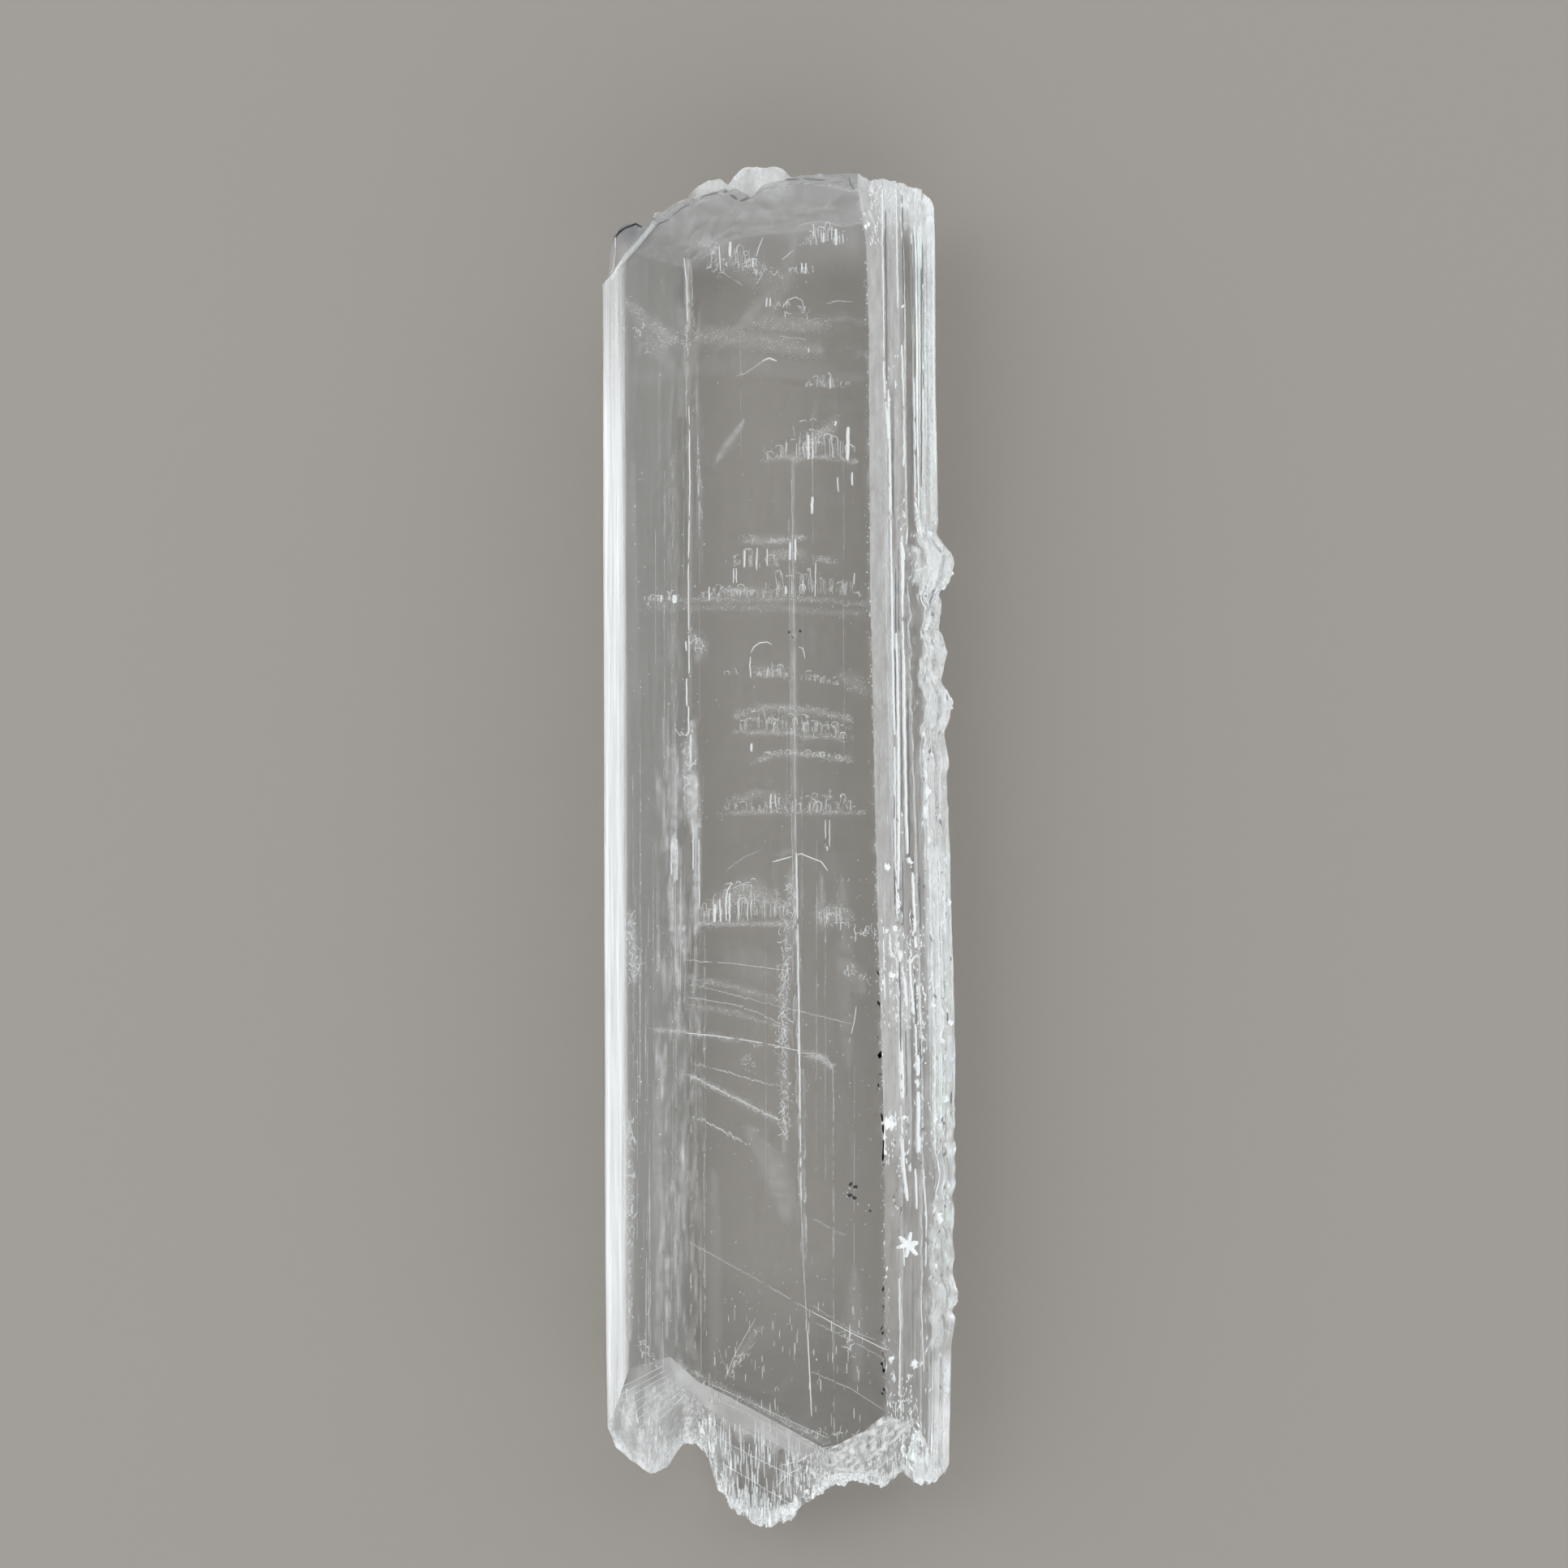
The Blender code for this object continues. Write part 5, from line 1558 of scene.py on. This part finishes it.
# White chips: pixels across and down, half width and half length in pixels
SIDE_CHIPS = (
    (1092, 1066, 5, 9), (1121, 1062, 6, 6), (1100, 1143, 8, 5), (1093, 1146, 4, 5), (1109, 1176, 5, 7),
    (1098, 1202, 6, 8), (1114, 1376, 5, 4), (1094, 1388, 8, 14), (1097, 1378, 5, 6), (1151, 1382, 4, 10),
    (1158, 1500, 8, 10), (1176, 1605, 7, 14), (1180, 1650, 5, 8), (1125, 1680, 7, 8), (1134, 1682, 3, 6),
    (1098, 1676, 5, 6), (1168, 705, 9, 12), (1160, 722, 8, 8), (1168, 868, 7, 8), (1157, 850, 5, 12),
    (1146, 660, 5, 8), (1150, 672, 5, 6), (1166, 1458, 6, 7), (1170, 1110, 4, 8), (1172, 1180, 4, 8),
    (1170, 1260, 5, 6), (1139, 1000, 5, 12), (1143, 975, 5, 8), (1166, 1352, 6, 8), (1160, 1283, 6, 5),
    (1112, 378, 3, 4), (1067, 278, 4, 6), (1064, 264, 4, 2), (1150, 1240, 4, 5), (1085, 1300, 4, 6),
    (1120, 1440, 4, 8), (1090, 1420, 3, 6), (1152, 1560, 3, 5), (1144, 1035, 3, 8),
)
# The starry chip: its middle, and the tip and half width of each of its points, in pixels
STAR = (1118, 1534)
STAR_POINTS = (
    (1122, 1518, 3.2), (1108, 1524, 3.6), (1105, 1537, 2.6), (1116, 1549, 3.4), (1130, 1546, 3.0),
    (1131, 1531, 3.6), (1126, 1538, 4.0), (1112, 1530, 4.4),
)
# Patches of small broken blocks: pixels left, right, top, bottom and how many
BLOCK_PATCHES = (
    (1094, 1140, 1150, 1270, 150), (1085, 1104, 1130, 1260, 30), (1104, 1136, 612, 690, 46),
    (1100, 1120, 1376, 1500, 44), (1088, 1104, 1370, 1440, 24), (1138, 1174, 640, 760, 90),
    (1136, 1170, 760, 960, 60), (1136, 1170, 960, 1300, 110), (1140, 1176, 1300, 1480, 80),
    (1096, 1124, 1690, 1740, 46), (1140, 1178, 1480, 1720, 80), (1080, 1090, 1160, 1340, 16),
    (1126, 1138, 1265, 1440, 40), (1090, 1108, 400, 520, 10), (1086, 1096, 1560, 1720, 30),
    (1072, 1146, 224, 250, 70), (1070, 1082, 222, 300, 34), (1104, 1112, 1000, 1150, 20),
    (1120, 1130, 1060, 1180, 30),
)
# A patch that starts to the right of this pixel across also has shaded blocks, dark with painted shade
SHADED_FROM = 1098
SIDE_LIFT = 0.02
STAR_LIFT = 0.06
STAR_HEIGHT = 0.05
STAR_SHARES = (-0.15, 0.3, 0.65, 1.0)
STAR_TAPER = 0.3
SIDE_LINE_TAPER = 0.4
# In pixels: how far a side line strays, how long its steps are, and how far a piece of it is shifted
SIDE_DRAWING = (0.3, 5.0)
SIDE_SHIFT = 0.5
SIDE_GAPS = 0.035
SIDE_SHARE = (0.36, 0.56)
SIDE_LINE_HEIGHT = 0.03
OUTLINE_MARGIN = 0.15
# A white chip is three splinters, a little apart: their spread, shares of its size, and height
CHIP_SPLINTERS = 3
CHIP_SPREAD = 0.4
CHIP_WIDTH_SHARE = 0.9
CHIP_LENGTH_SHARE = 0.8
CHIP_HEIGHT = 0.12
BLOCK_WIDTH = (0.03, 0.12)
BLOCK_LENGTH = (0.06, 0.45)
BLOCK_HEIGHT = 0.06
SHADED_BLOCKS = 0.2


def on_crystal(spot):
    """Whether a place on the side is well within the crystal's outline."""
    edge = along(RIGHT_RIDGE, spot.y) + lump_height(spot.y, THICKNESS - spot.z)
    return spot.x < edge - OUTLINE_MARGIN and spot.y < top_height(spot.x, spot.z) - OUTLINE_MARGIN


def build_side_lines(heaps, chance):
    # The white lines are painted highlights, the shaded ones painted shade
    for table, brightness in ((SIDE_LINES, "bright"), (SIDE_SHADES, "shade")):
        for pixels, width in table:
            corners = [Vector((across, down, 0.0)) for across, down in pixels]
            for piece in broken_route(route_between(corners, chance, *SIDE_DRAWING), chance, SIDE_GAPS):
                shift = chance.uniform(-SIDE_SHIFT, SIDE_SHIFT)
                route = [on_side(spot.x + shift, spot.y, SIDE_LIFT) for spot in piece]
                route = [spot for spot in route if on_crystal(spot)]
                half = width * MM_PER_PIXEL * chance.uniform(*SIDE_SHARE)
                add_tube(heaps[brightness], route, half, SIDE_LINE_HEIGHT, SIDE_LINE_TAPER)


def build_side_chips(heaps, chance):
    for across, down, half_width, half_length in SIDE_CHIPS:
        sizes = (half_width * MM_PER_PIXEL * CHIP_WIDTH_SHARE, half_length * MM_PER_PIXEL * CHIP_LENGTH_SHARE,
                 CHIP_HEIGHT)
        for splinter in range(CHIP_SPLINTERS):
            spot = on_side(across + chance.uniform(-CHIP_SPREAD, CHIP_SPREAD) * half_width,
                           down + chance.uniform(-CHIP_SPREAD, CHIP_SPREAD) * half_length, 0.0)
            if on_crystal(spot):
                add_shard(heaps["bright"], spot, sizes, chance)


def build_blocks(heaps, chance):
    for patch in BLOCK_PATCHES:
        for across, down in places_in(patch, chance):
            spot = on_side(across, down, 0.0)
            if on_crystal(spot):
                sizes = (chance.uniform(*BLOCK_WIDTH), chance.uniform(*BLOCK_LENGTH), BLOCK_HEIGHT)
                shaded = patch[0] > SHADED_FROM and chance.random() < SHADED_BLOCKS
                add_shard(heaps["shade" if shaded else "bright"], spot, sizes, chance)


def build_star(heaps, chance):
    """The starry chip, a spoke for each of its points."""
    middle_across, middle_down = STAR
    for across, down, half_width in STAR_POINTS:
        route = [on_side(middle_across + (across - middle_across) * share,
                         middle_down + (down - middle_down) * share, STAR_LIFT) for share in STAR_SHARES]
        add_tube(heaps["bright"], route, half_width * MM_PER_PIXEL, STAR_HEIGHT, STAR_TAPER)


# ---------------------------------------------------------------- marks along the top edge
# Broken dark lines of painted shade along the top edge of the front face: the pixels that each passes and its
# width in pixels
TOP_SHADES = (
    (((828, 266), (838, 258), (850, 251)), 1.4), (((853, 248), (862, 243), (876, 240), (896, 235)), 2.0),
    (((900, 240), (912, 248), (921, 244), (930, 234), (941, 226)), 1.8),
    (((938, 226), (955, 223), (990, 220), (1016, 222)), 1.8), (((808, 278), (816, 274), (824, 270)), 1.4),
    (((1046, 218), (1048, 226), (1052, 234)), 1.0),
)
# The broken corner's upper edge, a dark line of painted shade, and its left edge, a bright line of painted
# highlight: pixels, brightness and width, and how deep both lie
CORNER_EDGES = (
    (((758, 292), (763, 285), (770, 280), (777, 278), (783, 275), (791, 280), (798, 277), (807, 271),
      (813, 269)), "dark", 2.2),
    (((758, 292), (758, 309), (756, 329), (750, 342)), "bright", 1.2),
)
CORNER_DEPTH = 3.3
DIAGONAL = ((745, 343), (760, 325), (780, 303), (806, 272))
# The lines of the diagonal break, the last a dark line of painted shade beside it: shift in pixels, brightness
# and width
DIAGONAL_LINES = ((0.0, "bright", 1.1), (1.7, "soft", 2.4), (3.4, "bright", 1.0), (5.0, "shade", 1.1))
TOP_MARK_DEPTH = 0.03
TOP_SHADE_DRAWING = (0.03, 0.3)
TOP_SHADE_GAPS = 0.15
TOP_SHADE_SHARE = (0.45, 0.9)
CORNER_DRAWING = (0.02, 0.3)
CORNER_GAPS = 0.08
CORNER_SHARE = (0.3, 0.6)
CORNER_HEIGHT = 0.03
DIAGONAL_DRAWING = (0.012, 0.3)
DIAGONAL_HEIGHT = 0.02


def build_top_marks(heaps, chance):
    """Broken dark lines of painted shade along the top edge, the broken corner's edges in painted shade and
    painted highlight, and the lines of its break, one of them painted shade.
    """
    for pixels, width in TOP_SHADES:
        route = inside_line(pixels, TOP_MARK_DEPTH, chance, TOP_SHADE_DRAWING)
        for piece in broken_route(route, chance, TOP_SHADE_GAPS):
            add_tube(heaps["dark"], piece, width * MM_PER_PIXEL * chance.uniform(*TOP_SHADE_SHARE), FLAT)
    for pixels, brightness, width in CORNER_EDGES:
        corners = [seen_at(across, down, CORNER_DEPTH) for across, down in pixels]
        route = settled(route_between(corners, chance, *CORNER_DRAWING))
        for piece in broken_route(route, chance, CORNER_GAPS):
            half = width * MM_PER_PIXEL * chance.uniform(*CORNER_SHARE)
            add_tube(heaps[brightness], piece, half, CORNER_HEIGHT)
    for shift, brightness, width in DIAGONAL_LINES:
        pixels = [(across + shift, down + shift) for across, down in DIAGONAL]
        route = inside_line(pixels, TOP_MARK_DEPTH, chance, DIAGONAL_DRAWING)
        add_tube(heaps[brightness], route, width * MM_PER_PIXEL / 2.0, DIAGONAL_HEIGHT)


# ---------------------------------------------------------------- dark specks
# Grains of dirt: pixels across and down, and size
SPECKS = (
    (972, 779, 0.15), (977, 785, 0.12), (986, 778, 0.17), (1048, 1459, 0.25), (1054, 1462, 0.2),
    (1047, 1473, 0.3), (1053, 1476, 0.22), (1072, 1492, 0.14),
)
SPECK_DEPTH = 0.03
SPECK_LENGTH = 1.1
SPECK_WIDTH = (0.8, 1.1)
SPECK_HEIGHT = 0.8


def build_specks(heaps, chance):
    """Grains of dirt, each a compact lump."""
    for across, down, size in SPECKS:
        spot, = settled([inside_at(across, down, SPECK_DEPTH)])
        sizes = (size * SPECK_LENGTH, size * chance.uniform(*SPECK_WIDTH), SPECK_DEPTH * SPECK_HEIGHT)
        add_shard(heaps["dark"], spot, sizes, chance)


# ---------------------------------------------------------------- marks on the bottom end
# Fibres on the lobes: pixels left, right, top, bottom, how many, and their longest in pixels
FIBRE_PATCHES = (
    (862, 985, 1744, 1876, 210, 34), (872, 960, 1830, 1886, 240, 24), (860, 884, 1740, 1840, 120, 26),
    (980, 1060, 1786, 1830, 170, 14), (1000, 1132, 1722, 1800, 460, 11), (1060, 1112, 1800, 1834, 90, 12),
    (1112, 1160, 1750, 1830, 34, 18), (785, 850, 1756, 1806, 70, 24), (742, 850, 1690, 1780, 30, 20),
)
# Fine lines across the big lobe
LOBE_LINES = (
    ((890, 1803), (930, 1826), (982, 1858)), ((878, 1766), (930, 1796), (985, 1822)),
    ((960, 1806), (985, 1800), (1012, 1784), (1035, 1780)), ((955, 1834), (972, 1816), (990, 1806)),
)
# Lines fanned over the left lobe: both ends of the first, in pixels, and the step from each to the next
FAN_FIRST = ((745, 1702), (812, 1678))
FAN_STEP = ((5, 9), (4, 5))
FAN_COUNT = 9
SURFACE_STEP = 0.1
FIBRE_LENGTH = (0.2, 1.0)
FIBRE_LEAN = 1.5
FIBRE_STEPS = 4
BRIGHT_FIBRES = 0.75
FIBRE_HALF_WIDTH = (0.015, 0.06)
FIBRE_HEIGHT = 0.05
LOBE_LINE_DRAWING = (0.02, 0.4)
LOBE_LINE_WIDTH = 0.026
LOBE_LINE_HEIGHT = 0.04


def on_bottom(across, down):
    """The place on the bottom end that shows at a pixel; nothing where the front face or no crystal shows."""
    for depth in arange(0.0, THICKNESS, SURFACE_STEP):
        spot = seen_at(across, down, depth)
        if is_covered(spot):
            return spot if depth > SURFACE_STEP else None
    return None


def fan_lines():
    """The lines over the left lobe, in pixels."""
    lines = []
    for index in range(FAN_COUNT):
        lines.append([(across + index * step_across, down + index * step_down)
                      for (across, down), (step_across, step_down) in zip(FAN_FIRST, FAN_STEP)])
    return lines


def build_fibres(heaps, chance):
    for *patch, longest in FIBRE_PATCHES:
        for across, start in places_in(patch, chance):
            length = longest * chance.uniform(*FIBRE_LENGTH)
            lean = chance.uniform(-FIBRE_LEAN, FIBRE_LEAN)
            spots = [on_bottom(across + lean * step / FIBRE_STEPS, start + length * step / FIBRE_STEPS)
                     for step in range(FIBRE_STEPS + 1)]
            route = [spot for spot in spots if spot]
            if len(route) > 2:
                brightness = "bright" if chance.random() < BRIGHT_FIBRES else "soft"
                add_tube(heaps[brightness], route, chance.uniform(*FIBRE_HALF_WIDTH), FIBRE_HEIGHT)


def build_lobe_lines(heaps, chance):
    for pixels in (*LOBE_LINES, *fan_lines()):
        corners = [on_bottom(across, down) for across, down in pixels]
        if all(corners):
            route = route_between(corners, chance, *LOBE_LINE_DRAWING)
            add_tube(heaps["bright"], route, LOBE_LINE_WIDTH, LOBE_LINE_HEIGHT)


def build_marks():
    """All the marks, gathered by finish so that each finish makes one piece."""
    chance = random.Random(SEED)
    heaps = {name: Heap() for name in ("bright", "soft", "shade", "dark", "dust")}
    for build in (build_threads, build_arches, build_bars, build_dust, build_crackles, build_dashes,
                  build_flecks, build_hairs, build_edge_chips, build_side_lines, build_side_chips,
                  build_blocks, build_star, build_top_marks, build_specks, build_fibres, build_lobe_lines):
        build(heaps, chance)
    # The pale piece holds cracks and painted highlights, the shaded piece painted shade, and the dark piece
    # dirt and lines of painted shade
    heaps["bright"].make("pale_crack_and_painted_highlights", MARKS["bright"])
    heaps["soft"].make("faint_cracks", MARKS["soft"])
    heaps["shade"].make("painted_shade_cracks", MARKS["shade"])
    heaps["dark"].make("dirt_and_painted_shades", MARKS["dark"])
    heaps["dust"].make("inner_dust", MARKS["bright"])


# ---------------------------------------------------------------- putting the crystal together
def haze_routes():
    """The hazes as routes on the front face: half width, strength, and reach across and along the blade."""
    routes = []
    for pixels, width, strength in HAZES:
        route = [tuple(inside_at(across, down, 0.0))[:2] for across, down in pixels]
        half_width = width * MM_PER_PIXEL / 2.0
        bounds = []
        for places in zip(*route):
            bounds.extend((min(places) - half_width, max(places) + half_width))
        routes.append((route, half_width, strength, *bounds))
    return routes


HAZE_ROUTES = haze_routes()


def make_crystal():
    mesh = build_crystal()
    paint_finish(mesh)
    for vert in mesh.verts:
        vert.co = held_in_box(vert.co) * METRES_PER_MM
    data = bpy.data.meshes.new("crystal")
    mesh.to_mesh(data)
    mesh.free()
    data.shade_smooth()
    data.set_sharp_from_angle(angle=SHARP_ANGLE)
    data.materials.append(crystal_material("clear_selenite_finish", CRYSTAL_IOR))
    data.materials.append(crystal_material("clear_selenite_flank", FLANK_IOR))
    crystal = bpy.data.objects.new("crystal", data)
    bpy.context.scene.collection.objects.link(crystal)
    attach(crystal, "root")
    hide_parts(NODE)


# ---------------------------------------------------------------- floor, light and camera
FLOOR_HALF = 4.0
FLOOR_LEVEL = -0.00004
FLOOR_COLOUR = (0.325, 0.2985, 0.271, 1.0)
FLOOR_ROUGHNESS = 0.9
FLOOR_SPECULAR = 0.1

ROOM_COLOUR = (0.95, 0.98, 1.0, 1.0)
SIDE_LIGHT = 0.88
OVERHEAD_LIGHT = 0.3
END_LIGHT = 0.75
# How far up a direction points where the room starts to dim, and where it is dimmest
DIMMING_FROM = 0.45
DIMMING_TO = 0.95
# How far along the blade a direction points where an end's light starts, and where it is full
END_LIGHT_FROM = 0.2
END_LIGHT_TO = 0.45

KEY_PLACE = (-0.80, 0.20, 0.55)
KEY_SIZE = 0.7
KEY_POWER = 2.2
KEY_COLOUR = (0.97, 0.99, 1.0)
SENSOR_WIDTH = 36.0
CLIP_START = 0.01


def make_floor():
    """A sheet of warm grey paper just under the crystal."""
    data = bpy.data.meshes.new("floor")
    corners = ((-1, -1), (1, -1), (1, 1), (-1, 1))
    data.from_pydata([(x * FLOOR_HALF, y * FLOOR_HALF, FLOOR_LEVEL) for x, y in corners], [], [(0, 1, 2, 3)])
    material = bpy.data.materials.new("floor_paper")
    shader = NodeTree(material).nodes["Principled BSDF"]
    shader.inputs["Base Color"].default_value = FLOOR_COLOUR
    shader.inputs["Roughness"].default_value = FLOOR_ROUGHNESS
    shader.inputs["Specular IOR Level"].default_value = FLOOR_SPECULAR
    data.materials.append(material)
    floor = bpy.data.objects.new("floor", data)
    bpy.context.scene.collection.objects.link(floor)


def make_key_light():
    """A broad soft light from the left, aimed at the blade."""
    data = bpy.data.lights.new("key_left", "AREA")
    data.energy = KEY_POWER
    data.size = KEY_SIZE
    data.color = KEY_COLOUR
    lamp = bpy.data.objects.new("key_left", data)
    lamp.location = KEY_PLACE
    lamp.rotation_euler = (-Vector(KEY_PLACE)).to_track_quat("-Z", "Y").to_euler()
    bpy.context.scene.collection.objects.link(lamp)


def make_world():
    """A soft room: dimmer overhead than towards the sides, and lighter off both ends of the blade."""
    world = bpy.data.worlds.new("soft_room")
    bpy.context.scene.world = world
    tree = NodeTree(world)
    background = tree.nodes["Background"]
    background.inputs["Color"].default_value = ROOM_COLOUR
    direction = tree.nodes.new("ShaderNodeTexCoord").outputs["Generated"]
    split = tree.add("ShaderNodeSeparateXYZ", {"Vector": direction})
    around = tree.range(split.outputs["Z"], DIMMING_FROM, DIMMING_TO, SIDE_LIGHT, OVERHEAD_LIGHT)
    lengthwise = tree.math("ABSOLUTE", split.outputs["Y"], 0.0)
    ends = tree.range(lengthwise, END_LIGHT_FROM, END_LIGHT_TO, 0.0, END_LIGHT)
    tree.fill(background.inputs["Strength"], tree.math("ADD", around, ends))


def make_camera():
    """A camera above the blade, which sees it as the picture shows it."""
    data = bpy.data.cameras.new("camera")
    half_width = MM_PER_PIXEL * PICTURE_SIZE / 2.0
    data.sensor_width = SENSOR_WIDTH
    data.lens = data.sensor_width / 2.0 * VIEW_DISTANCE / half_width
    data.clip_start = CLIP_START
    camera = bpy.data.objects.new("camera", data)
    camera.location = Vector((VIEW_X, VIEW_Y, THICKNESS + VIEW_DISTANCE)) * METRES_PER_MM
    bpy.context.scene.collection.objects.link(camera)
    bpy.context.scene.camera = camera


def allow_long_light_paths():
    """Light crosses the crystal many times before it leaves it."""
    cycles = bpy.context.scene.cycles
    cycles.max_bounces = 11
    cycles.glossy_bounces = 9
    cycles.transmission_bounces = 11
    cycles.diffuse_bounces = 4
    cycles.blur_glossy = 0.0


make_crystal()
build_marks()
make_floor()
make_world()
make_key_light()
make_camera()
allow_long_light_paths()
bpy.context.scene.view_settings.view_transform = "Standard"
